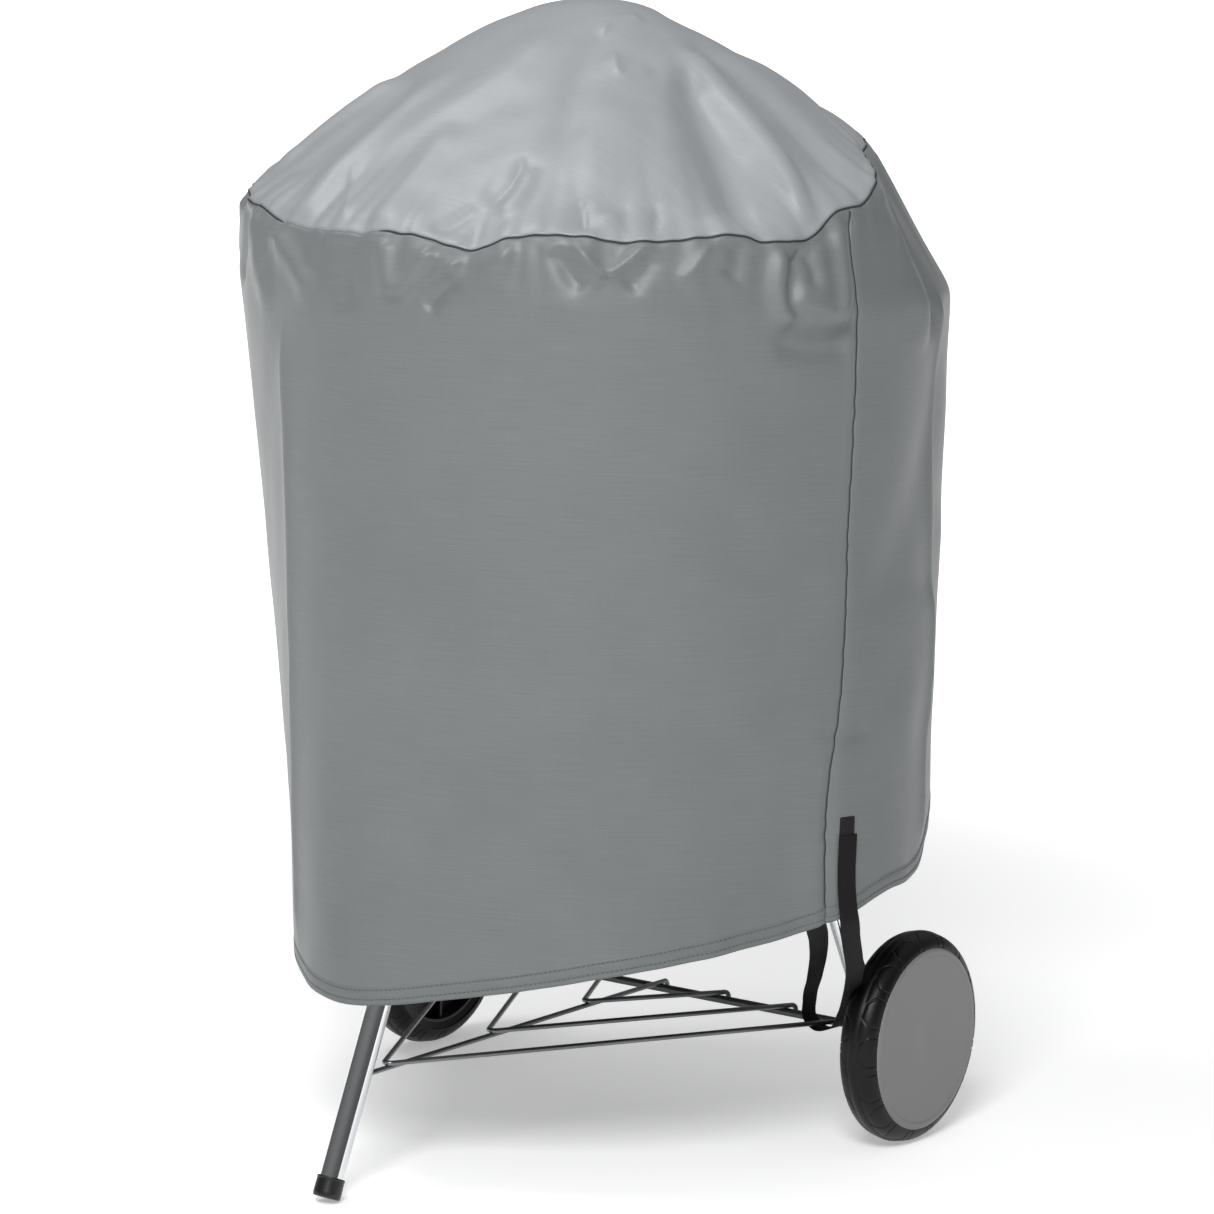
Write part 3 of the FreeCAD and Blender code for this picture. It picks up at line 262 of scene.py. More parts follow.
@dataclass(frozen=True)
class WovenWebbing(Finish):
    """Polypropylene webbing: ribs along the strap, crossed by a fine weft, and no gloss."""

    rib: float = 1.6 * MM

    def dress(self, tree: bpy.types.NodeTree, shader: bpy.types.Node) -> None:
        """Weaves the ribs and the weft into the relief and the colour."""
        ribs = add_node(tree, "ShaderNodeTexWave", {
            "Vector": self.place(tree, (1 / self.rib, 1, 1), "UV"), "Scale": 1.0 / math.tau * 2,
            "Distortion": 0.3})
        weft = add_node(tree, "ShaderNodeTexWave", {
            "Vector": self.place(tree, (1, 1 / self.rib, 1), "UV"), "Scale": 1.0 / math.tau * 2,
            "Distortion": 0.5}, bands_direction="Y")
        both = add_node(tree, "ShaderNodeMath", {0: ribs.outputs["Fac"], 1: weft.outputs["Fac"]},
                        operation="MULTIPLY")
        bump = add_node(tree, "ShaderNodeBump", {"Height": both.outputs[0], "Strength": 0.7,
                                                 "Distance": 0.4 * MM})
        tree.links.new(bump.outputs[0], shader.inputs["Normal"])
        self.vary(tree, shader, both.outputs[0], "050505", "121213")


@dataclass(frozen=True)
class HookPile(Finish):
    """Nylon hook pile: a dark mat of tiny hooks that swallows light."""

    pitch: float = 1.3 * MM

    def dress(self, tree: bpy.types.NodeTree, shader: bpy.types.Node) -> None:
        """Makes the mat's relief from cells one hook wide."""
        hooks = add_node(tree, "ShaderNodeTexVoronoi", {
            "Vector": self.place(tree, (1, 1, 1)), "Scale": 1 / self.pitch})
        bump = add_node(tree, "ShaderNodeBump", {"Height": hooks.outputs["Distance"],
                                                 "Strength": 0.9, "Distance": 0.8 * MM})
        tree.links.new(bump.outputs[0], shader.inputs["Normal"])
        self.vary(tree, shader, hooks.outputs["Distance"], "060606", "191919")


@dataclass(frozen=True)
class Mottled(Finish):
    """A smooth hard finish with faint unevenness: enamel, moulded plastic or plate.

    The grain is the size of the unevenness that the process leaves, and the relief is how
    deep it is. Light catches it as a slightly broken reflection.
    """

    grain: float = 2.0 * MM
    relief: float = 0.05 * MM
    shade: float = 0.12
    gloss_spread: float = 0.06
    coat: float = 0.0

    def dress(self, tree: bpy.types.NodeTree, shader: bpy.types.Node) -> None:
        """Spreads colour, roughness and relief by noise of the finish's own grain."""
        noise = add_node(tree, "ShaderNodeTexNoise", {
            "Vector": self.place(tree, (1, 1, 1)), "Scale": 1 / self.grain, "Detail": 3.0})
        cloud = add_node(tree, "ShaderNodeTexNoise", {
            "Vector": self.place(tree, (1, 1, 1)), "Scale": 14.0, "Detail": 4.0})
        base = linear(self.colour)
        ramp = add_node(tree, "ShaderNodeValToRGB", {"Fac": cloud.outputs["Fac"]})
        for element, sign in zip(ramp.color_ramp.elements, (-1, 1)):
            element.position = 0.5 + 0.2 * sign
            element.color = tuple(c * (1 + sign * self.shade / 2) for c in base[:3]) + (1.0,)
        tree.links.new(ramp.outputs["Color"], shader.inputs["Base Color"])
        gloss = add_node(tree, "ShaderNodeMapRange", {
            "Value": noise.outputs["Fac"], "To Min": max(0.02, self.roughness - self.gloss_spread),
            "To Max": self.roughness + self.gloss_spread})
        tree.links.new(gloss.outputs[0], shader.inputs["Roughness"])
        bump = add_node(tree, "ShaderNodeBump", {"Height": noise.outputs["Fac"],
                                                 "Strength": 0.5, "Distance": self.relief})
        tree.links.new(bump.outputs[0], shader.inputs["Normal"])
        shader.inputs["Coat Weight"].default_value = self.coat
        shader.inputs["Coat Roughness"].default_value = 0.06


@dataclass(frozen=True)
class Finishes:
    """Every finish of the part, built once."""

    side_cloth: bpy.types.Material
    top_cloth: bpy.types.Material
    hem_cloth: bpy.types.Material
    thread: bpy.types.Material
    piping: bpy.types.Material
    webbing: bpy.types.Material
    hook_pile: bpy.types.Material
    rivet: bpy.types.Material
    enamel: bpy.types.Material
    chrome: bpy.types.Material
    nylon: bpy.types.Material
    wire: bpy.types.Material
    axle: bpy.types.Material
    grate: bpy.types.Material
    aluminium: bpy.types.Material
    rubber: bpy.types.Material
    hub: bpy.types.Material
    cap: bpy.types.Material

    @classmethod
    def make(cls) -> Finishes:
        """Builds the finishes.

        Returns:
            All of them.
        """
        return cls(
            side_cloth=CoatedPolyester("coated_polyester_side", "6E7273", 0.46).build(),
            # The top panel is the same cloth as the sides, coloured lighter: painted light from
            # above.
            top_cloth=CoatedPolyester("coated_polyester_top_painted_lighter", "8D9093", 0.42,
                                      dark="888B8E", light="95989B").build(),
            hem_cloth=CoatedPolyester("coated_polyester_hem", "6C7071", 0.5,
                                      dark="646869", light="717576").build(),
            # Spun polyester thread, dull and a shade darker than the cloth.
            thread=Mottled("polyester_thread", "5A5E5F", 0.7, grain=0.6 * MM,
                           relief=0.1 * MM).build(),
            # Dark tube along the seams: painted shadow, the thin dark line that shade makes in the
            # pinch of the seam.
            piping=Mottled("seam_binding", "262A2B", 0.7, grain=0.8 * MM,
                           relief=0.15 * MM).build(),
            webbing=WovenWebbing("polypropylene_webbing", "0C0C0D", 0.8, specular=0.3).build(),
            hook_pile=HookPile("nylon_hook_pile", "0C0C0C", 0.9).build(),
            rivet=Mottled("nickel_plated_rivet", "C9C9C7", 0.28, metallic=1.0,
                          grain=0.8 * MM).build(),
            # Fired porcelain enamel: deep black under a clear gloss, with a faint orange peel.
            enamel=Mottled("porcelain_enamel", "0B0B0C", 0.16, grain=5 * MM,
                           relief=0.06 * MM, coat=0.6).build(),
            # Polished chrome on drawn tube: a mirror with faint draw lines.
            chrome=Mottled("polished_chrome", "DADCDE", 0.07, metallic=1.0, grain=9 * MM,
                           relief=0.01 * MM, shade=0.03, gloss_spread=0.02).build(),
            nylon=Mottled("moulded_black_nylon", "0C0C0D", 0.42, grain=0.9 * MM,
                          relief=0.05 * MM).build(),
            # Bright drawn wire under zinc plate: satin mid grey with duller patches.
            wire=Mottled("zinc_plated_wire", "77787A", 0.36, metallic=0.9, grain=3 * MM,
                         relief=0.04 * MM, shade=0.3).build(),
            axle=Mottled("black_oxide_steel", "5A5B5C", 0.42, metallic=0.8, grain=2 * MM,
                         relief=0.04 * MM, shade=0.25).build(),
            grate=Mottled("nickel_plated_wire", "BDBDBB", 0.26, metallic=1.0, grain=3 * MM,
                          relief=0.03 * MM).build(),
            aluminium=Mottled("spun_aluminium", "C8C9CA", 0.34, metallic=1.0, grain=1.2 * MM,
                              relief=0.03 * MM).build(),
            # Hard moulded tread: near black, dull on the blocks.
            rubber=Mottled("moulded_tread", "060606", 0.42, specular=0.28, grain=1.2 * MM,
                           relief=0.12 * MM,
                           shade=0.3).build(),
            hub=Mottled("moulded_black_polypropylene", "121213", 0.45, grain=1.1 * MM,
                        relief=0.05 * MM).build(),
            # Moulded ABS, satin grey, with the faint grain of a textured tool.
            cap=Mottled("moulded_grey_abs", "828283", 0.42, grain=0.9 * MM, relief=0.04 * MM,
                        shade=0.04).build(),
        )


# ---------------------------------------------------------------- mesh tools


def hermite(knots: np.ndarray, values: np.ndarray, at: np.ndarray) -> np.ndarray:
    """Runs a smooth curve through given values.

    Args:
        knots: Where the values are, rising.
        values: The value at each knot.
        at: Where the curve is wanted, within the knots.

    Returns:
        The curve's values.
    """
    steps = np.diff(knots)
    slopes = np.diff(values) / steps
    tangents = np.empty_like(values)
    tangents[0], tangents[-1] = slopes[0], slopes[-1]
    tangents[1:-1] = (slopes[:-1] * steps[1:] + slopes[1:] * steps[:-1]) / (steps[:-1] + steps[1:])
    place = np.clip(np.searchsorted(knots, at, side="right") - 1, 0, len(steps) - 1)
    step = steps[place]
    share = np.clip((at - knots[place]) / step, 0, 1)
    back = 1 - share
    return (values[place] * (1 + 2 * share) * back ** 2
            + values[place + 1] * (3 - 2 * share) * share ** 2
            + step * (tangents[place] * share * back ** 2
                      - tangents[place + 1] * share ** 2 * back))


def ease(value: np.ndarray) -> np.ndarray:
    """A smooth step from 0 to 1."""
    held = np.clip(value, 0, 1)
    return held * held * (3 - 2 * held)


@dataclass(frozen=True)
class Ring:
    """A size that changes smoothly with azimuth, given at a few azimuths in rising order."""

    knots: tuple[tuple[float, float], ...]

    def at(self, azimuth: np.ndarray) -> np.ndarray:
        """Gives the size at azimuths.

        Args:
            azimuth: Azimuths in degrees, of any turn.

        Returns:
            The size at each.
        """
        degrees = np.array([k for k, _ in self.knots])
        sizes = np.array([v for _, v in self.knots])
        wide = np.concatenate([degrees - 360, degrees, degrees + 360])
        start = degrees[0]
        return hermite(wide, np.tile(sizes, 3), (np.asarray(azimuth) - start) % 360 + start)


def surface_object(name: str, points: np.ndarray, closed: bool = False,
                   cloth: np.ndarray | None = None) -> bpy.types.Object:
    """Makes a smooth mesh from a grid of points.

    Args:
        name: The piece's name.
        points: Rows by columns by 3, in metres.
        closed: Whether the last column joins the first.
        cloth: The place of each point on the flat cloth, rows by columns by 2.

    Returns:
        The mesh object, linked to the scene.
    """
    rows, columns = points.shape[:2]
    index = np.arange(rows * columns).reshape(rows, columns)
    if closed:
        index = np.concatenate([index, index[:, :1]], axis=1)
    quads = np.stack([index[:-1, :-1], index[:-1, 1:], index[1:, 1:], index[1:, :-1]], axis=-1)
    mesh = bpy.data.meshes.new(name)
    mesh.from_pydata(points.reshape(-1, 3).tolist(), [], quads.reshape(-1, 4).tolist())
    mesh.polygons.foreach_set("use_smooth", np.ones(len(mesh.polygons), bool))
    if cloth is not None:
        if closed:
            cloth = np.concatenate([cloth, cloth[:, :1]], axis=1)
        corners = np.stack([cloth[:-1, :-1], cloth[:-1, 1:], cloth[1:, 1:], cloth[1:, :-1]],
                           axis=2)
        layer = mesh.uv_layers.new(name="cut_cloth")
        layer.data.foreach_set("uv", corners.reshape(-1).astype(np.float32))
    mesh.validate()
    mesh.update()
    piece = bpy.data.objects.new(name, mesh)
    bpy.context.scene.collection.objects.link(piece)
    return piece


def loops_object(name: str, loops: np.ndarray, capped: bool, closed: bool = False,
                 cloth: np.ndarray | None = None) -> bpy.types.Object:
    """Makes a closed solid skin from a row of cross-section loops.

    Args:
        name: The piece's name.
        loops: Sections by points of one loop by 3, in metres.
        capped: Whether the first and last loops are filled.
        closed: Whether the last section joins the first.
        cloth: The place of each point on the flat cloth, sections by points by 2.

    Returns:
        The mesh object, linked to the scene.
    """
    sections, count = loops.shape[:2]
    points = np.transpose(loops, (1, 0, 2))
    flat = None if cloth is None else np.transpose(cloth, (1, 0, 2))
    index = np.arange(count * sections).reshape(count, sections)
    faces = []
    rows = list(range(count)) + [0]
    columns = list(range(sections)) + ([0] if closed else [])
    for r0, r1 in zip(rows[:-1], rows[1:]):
        for c0, c1 in zip(columns[:-1], columns[1:]):
            faces.append((index[r0, c0], index[r0, c1], index[r1, c1], index[r1, c0]))
    side_faces = len(faces)
    if capped and not closed:
        faces.append(tuple(int(index[r, 0]) for r in range(count)))
        faces.append(tuple(int(index[r, -1]) for r in reversed(range(count))))
    mesh = bpy.data.meshes.new(name)
    mesh.from_pydata(points.reshape(-1, 3).tolist(), [], faces)
    mesh.polygons.foreach_set("use_smooth", np.arange(len(faces)) < side_faces)
    if flat is not None:
        layer = mesh.uv_layers.new(name="cut_cloth")
        where = flat.reshape(-1, 2)
        corners = np.array([v for polygon in mesh.polygons for v in polygon.vertices])
        layer.data.foreach_set("uv", where[corners].reshape(-1).astype(np.float32))
    mesh.validate()
    mesh.update()
    outward(mesh)
    piece = bpy.data.objects.new(name, mesh)
    bpy.context.scene.collection.objects.link(piece)
    return piece


def outward(mesh: bpy.types.Mesh) -> None:
    """Turns a closed mesh's faces outward if its volume comes out negative."""
    spots = np.empty(3 * len(mesh.vertices))
    mesh.vertices.foreach_get("co", spots)
    mesh.calc_loop_triangles()
    triangles = np.empty(3 * len(mesh.loop_triangles), np.int32)
    mesh.loop_triangles.foreach_get("vertices", triangles)
    corners = spots.reshape(-1, 3)[triangles.reshape(-1, 3)]
    volume = np.einsum("ij,ij->i", corners[:, 0], np.cross(corners[:, 1], corners[:, 2])).sum()
    if volume < 0:
        mesh.flip_normals()


def lathe(name: str, profile: Iterable[tuple[float, float]], steps: int,
          place: Matrix) -> bpy.types.Object:
    """Turns a closed outline about its axis.

    Args:
        name: The piece's name.
        profile: Points of the outline as radius and distance along the axis.
        steps: How many steps go round.
        place: Takes the axis, which is Z, to its place.

    Returns:
        The mesh object.
    """
    outline = np.array(list(profile))
    turns = np.linspace(0, math.tau, steps, endpoint=False)
    loops = np.stack([np.outer(np.cos(turns), outline[:, 0]),
                      np.outer(np.sin(turns), outline[:, 0]),
                      np.tile(outline[:, 1], (steps, 1))], axis=-1)
    piece = loops_object(name, loops, capped=False, closed=True)
    piece.data.transform(place)
    return piece


def rounded(points: list[tuple[float, float]], radius: float, steps: int = 5,
            closed: bool = True) -> list[tuple[float, float]]:
    """Rounds the corners of an outline.

    Args:
        points: The outline's corners.
        radius: The rounding, or less where a side is short.
        steps: Points in each rounded corner.
        closed: Whether the outline closes on itself.

    Returns:
        The outline with rounded corners.
    """
    result: list[tuple[float, float]] = []
    count = len(points)
    for i, corner in enumerate(points):
        if not closed and i in (0, count - 1):
            result.append(corner)
            continue
        here = Vector(corner)
        before = Vector(points[i - 1]) - here
        after = Vector(points[(i + 1) % count]) - here
        reach = min(radius, before.length * 0.45, after.length * 0.45)
        start, end = here + before.normalized() * reach, here + after.normalized() * reach
        for k in range(steps):
            share = k / (steps - 1)
            spot = start * (1 - share) ** 2 + here * 2 * share * (1 - share) + end * share ** 2
            result.append((spot.x, spot.y))
    return result


def grid_normals(points: np.ndarray, closed: bool) -> np.ndarray:
    """Gives the unit normals of a grid of points, by the slopes between neighbours."""
    down = np.gradient(points, axis=0)
    if closed:
        wide = np.concatenate([points[:, -1:], points, points[:, :1]], axis=1)
        across = np.gradient(wide, axis=1)[:, 1:-1]
    else:
        across = np.gradient(points, axis=1)
    normals = np.cross(across, down)
    length = np.linalg.norm(normals, axis=-1, keepdims=True)
    return normals / np.maximum(length, 1e-12)


def soft_noise(points: np.ndarray, wavelength: float, seed: int, waves: int = 14) -> np.ndarray:
    """A gentle uneven field between about -1 and 1, the same in every run.

    Args:
        points: Places, the last axis of length 3.
        wavelength: The usual distance between two crests.
        seed: Chooses the field.
        waves: How many waves are added up.

    Returns:
        The field at each place.
    """
    random = np.random.default_rng(seed)
    total = np.zeros(points.shape[:-1])
    for _ in range(waves):
        direction = random.normal(size=3)
        direction *= math.tau / wavelength * random.uniform(0.6, 1.5) / np.linalg.norm(direction)
        total += np.sin(points @ direction + random.uniform(0, math.tau))
    return total / math.sqrt(waves)


# ---------------------------------------------------------------- the cover's shape


@dataclass(frozen=True)
class Fold:
    """A ridge or dent that runs along a line on the cloth.

    The line is given on the cloth's own map: seen from above for the top panel, and azimuth
    in degrees against height for the sides. A lean below 1 narrows the flank on the line's
    left, so that the fold stands steep there.
    """

    path: tuple[tuple[float, float], ...]
    width: float
    height: float
    lean: float = 1.0
    crisp: bool = False
    fade: float = 0.22

    def lift(self, across: np.ndarray, along: np.ndarray, unit: float = 1.0) -> np.ndarray:
        """Gives how far the fold lifts the cloth.

        Args:
            across: First map coordinate of each point, in metres.
            along: Second map coordinate of each point, in metres.
            unit: Metres in one unit of the path's first coordinate.

        Returns:
            The lift at each point, in metres.
        """
        line = np.array([(x * unit, y) for x, y in self.path])
        if len(line) > 2:
            knots = np.arange(len(line), dtype=float)
            fine = np.linspace(0, len(line) - 1, 6 * (len(line) - 1) + 1)
            line = np.stack([hermite(knots, line[:, 0], fine), hermite(knots, line[:, 1], fine)], 1)
        lengths = np.linalg.norm(np.diff(line, axis=0), axis=1)
        starts = np.concatenate([[0], np.cumsum(lengths)])
        best = np.full(across.shape, 1e9)
        side = np.zeros(across.shape)
        share = np.zeros(across.shape)
        for (x0, y0), (x1, y1), length, start in zip(line[:-1], line[1:], lengths, starts):
            dx, dy = (x1 - x0) / length, (y1 - y0) / length
            step = np.clip((across - x0) * dx + (along - y0) * dy, 0, length)
            ox, oy = across - x0 - step * dx, along - y0 - step * dy
            distance = np.hypot(ox, oy)
            closer = distance < best
            best = np.where(closer, distance, best)
            side = np.where(closer, dx * oy - dy * ox, side)
            share = np.where(closer, (start + step) / starts[-1], share)
        reach = best / (self.width * np.where(side > 0, self.lean, 1.0))
        shape = np.exp(-reach * 1.3) if self.crisp else np.exp(-reach ** 2)
        ends = ease(share / self.fade) * ease((1 - share) / self.fade)
        return self.height * shape * ends


@dataclass
class CoverShape:
    """Where the cloth lies: round the kettle's handles above, over the front leg below."""

    axis_y: float
    crown_top: float = 1.0705
    rim_level: float = 0.815
    half_width: float = 0.335
    half_depth: float = 0.3155
    hem_front: float = 0.172
    hem_rise: float = 0.31
    pinch: float = 3.0 * MM
    seam_height: Ring = Ring((
        (-160, 0.899), (-138, 0.881), (-128, 0.880), (-121, 0.873), (-103, 0.869), (-84, 0.872),
        (-76, 0.863), (-65, 0.878), (-46, 0.875), (-31, 0.881), (-24, 0.875), (-17, 0.880),
        (-12, 0.899), (-7, 0.903), (0, 0.919), (8, 0.933), (20, 0.944), (30, 0.951), (60, 0.912),
        (78, 0.897), (95, 0.904), (112, 0.893), (130, 0.909), (145, 0.926), (160, 0.922),
        (175, 0.905)))
    seam_reach: Ring = Ring((
        (-170, 0.318), (-147, 0.326), (-125, 0.318), (-90, 0.310), (-60, 0.316), (-40, 0.322),
        (-20, 0.326), (-9, 0.320), (-5, 0.321), (1, 0.309), (8, 0.288), (14, 0.266), (22, 0.258),
        (33, 0.252), (60, 0.280), (80, 0.298), (105, 0.303), (125, 0.292), (142, 0.276),
        (155, 0.280), (172, 0.304)))
    hem_reach: Ring = Ring((
        (-170, 0.303), (-155, 0.271), (-140, 0.261), (-129, 0.267), (-114, 0.297), (-98, 0.319),
        (-77, 0.296), (-58, 0.289), (-32, 0.294), (-18, 0.308), (-8, 0.327), (5, 0.338),
        (22, 0.331), (45, 0.323), (80, 0.316), (110, 0.318), (135, 0.326), (165, 0.335),
        (181, 0.325)))
    hem_sag: Ring = Ring((
        (-180, 0.0), (-86, 0.0), (-69, -0.005), (-52, -0.008), (-31, -0.004), (-18, 0.0),
        (-8, 0.0), (3, 0.001), (11, 0.012), (17, 0.012), (32, 0.002), (45, 0.0), (179, 0.0)))
    calm_turn: float = 21.0
    calm_reach: float = 42 * MM
    top_slope: tuple[tuple[float, float], ...] = (
        (0.0, 1.0), (0.06, 0.997), (0.12, 0.972), (0.20, 0.915), (0.27, 0.857), (0.36, 0.768),
        (0.447, 0.672), (0.53, 0.576), (0.61, 0.485), (0.73, 0.335), (0.87, 0.150), (1.0, 0.0))

    def outward(self, azimuth: np.ndarray) -> np.ndarray:
        """The level direction away from the kettle's axis at each azimuth."""
        turn = np.radians(azimuth)
        return np.stack([np.cos(turn), np.sin(turn), np.zeros_like(turn)], axis=-1)

    def point(self, azimuth: np.ndarray, reach: np.ndarray, height: np.ndarray) -> np.ndarray:
        """Points by azimuth, distance from the kettle's axis and height."""
        turn = np.radians(azimuth)
        return np.stack([reach * np.cos(turn), self.axis_y + reach * np.sin(turn),
                         np.broadcast_to(height, np.broadcast(turn, reach).shape)], axis=-1)

    def seam(self, azimuth: np.ndarray) -> tuple[np.ndarray, np.ndarray]:
        """Gives the rim seam, where the top panel meets the sides.

        Args:
            azimuth: Azimuths in degrees.

        Returns:
            The seam's distance from the axis and its height.
        """
        turn = np.radians(azimuth)
        ripple = (0.9 * np.sin(31 * turn + 0.7) + 0.7 * np.sin(47 * turn + 2.1)
                  + 0.5 * np.sin(83 * turn)) * MM
        return (self.seam_reach.at(azimuth) - self.pinch + ripple,
                self.seam_height.at(azimuth) + 0.9 * ripple)

    def calm_seam(self, azimuth: np.ndarray) -> tuple[np.ndarray, np.ndarray]:
        """The rim seam with its waves smoothed out, as the taut cloth above it knows it."""
        spread = np.linspace(-1, 1, 15)
        weights = 1 - spread ** 2
        near = azimuth[..., None] + spread * self.calm_turn
        return (np.average(self.seam_reach.at(near), axis=-1, weights=weights) - self.pinch,
                np.average(self.seam_height.at(near), axis=-1, weights=weights))

    def rim_reach(self, azimuth: np.ndarray) -> np.ndarray:
        """Distance of the cloth from the axis at the kettle's rim, where the handles push."""
        turn = np.radians(azimuth)
        return 1 / np.sqrt((np.cos(turn) / self.half_width) ** 2
                           + (np.sin(turn) / self.half_depth) ** 2)

    def hem_height(self, azimuth: np.ndarray) -> np.ndarray:
        """Height of the hem, which hangs lowest over the front leg."""
        north = self.hem_reach.at(azimuth) * np.sin(np.radians(azimuth))
        return (self.hem_front + self.hem_rise * (north + self.half_depth)
                - self.hem_sag.at(azimuth))

    def side(self, azimuth: np.ndarray, drop: np.ndarray) -> np.ndarray:
        """Gives points of the side cloth before its folds.

        Args:
            azimuth: Azimuths in degrees.
            drop: Shares of the way from the rim seam, 0, to the hem, 1.

        Returns:
            The points.
        """
        seam_reach, seam_height = self.seam(azimuth)
        hem_height = self.hem_height(azimuth)
        height = seam_height + (hem_height - seam_height) * drop
        rim = self.rim_reach(azimuth)
        above = np.clip((seam_height - height) / (seam_height - self.rim_level), 0, 1)
        below = np.clip((self.rim_level - height) / (self.rim_level - hem_height), 0, 1)
        reach = np.where(height > self.rim_level, seam_reach + (rim - seam_reach) * above,
                         rim + (self.hem_reach.at(azimuth) - rim) * below)
        for _ in range(10):
            reach[1:-1] = (reach[:-2] + 2 * reach[1:-1] + reach[2:]) / 4
        return self.point(azimuth, reach, height)

    def top(self, azimuth: np.ndarray, share: np.ndarray) -> np.ndarray:
        """Gives points of the top panel before its folds.

        Args:
            azimuth: Azimuths in degrees.
            share: Shares of the way from the crown, 0, to the rim seam, 1.

        Returns:
            The points.
        """
        seam_reach, seam_height = self.seam(azimuth)
        calm_reach, calm_height = self.calm_seam(azimuth)
        near = np.exp(-(seam_reach * (1 - share) / self.calm_reach) ** 1.5)
        long_handle = 1 - 0.22 * np.cos(np.radians(azimuth)) ** 2 * (1 - share)
        knots = np.array([k for k, _ in self.top_slope])
        values = np.array([v for _, v in self.top_slope])
        slope = hermite(knots, values, share * long_handle)
        reach = calm_reach * share + (seam_reach - calm_reach) * near
        height = calm_height + (self.crown_top - calm_height) * slope
        return self.point(azimuth, reach, height + (seam_height - calm_height) * near)


# ---------------------------------------------------------------- the cover


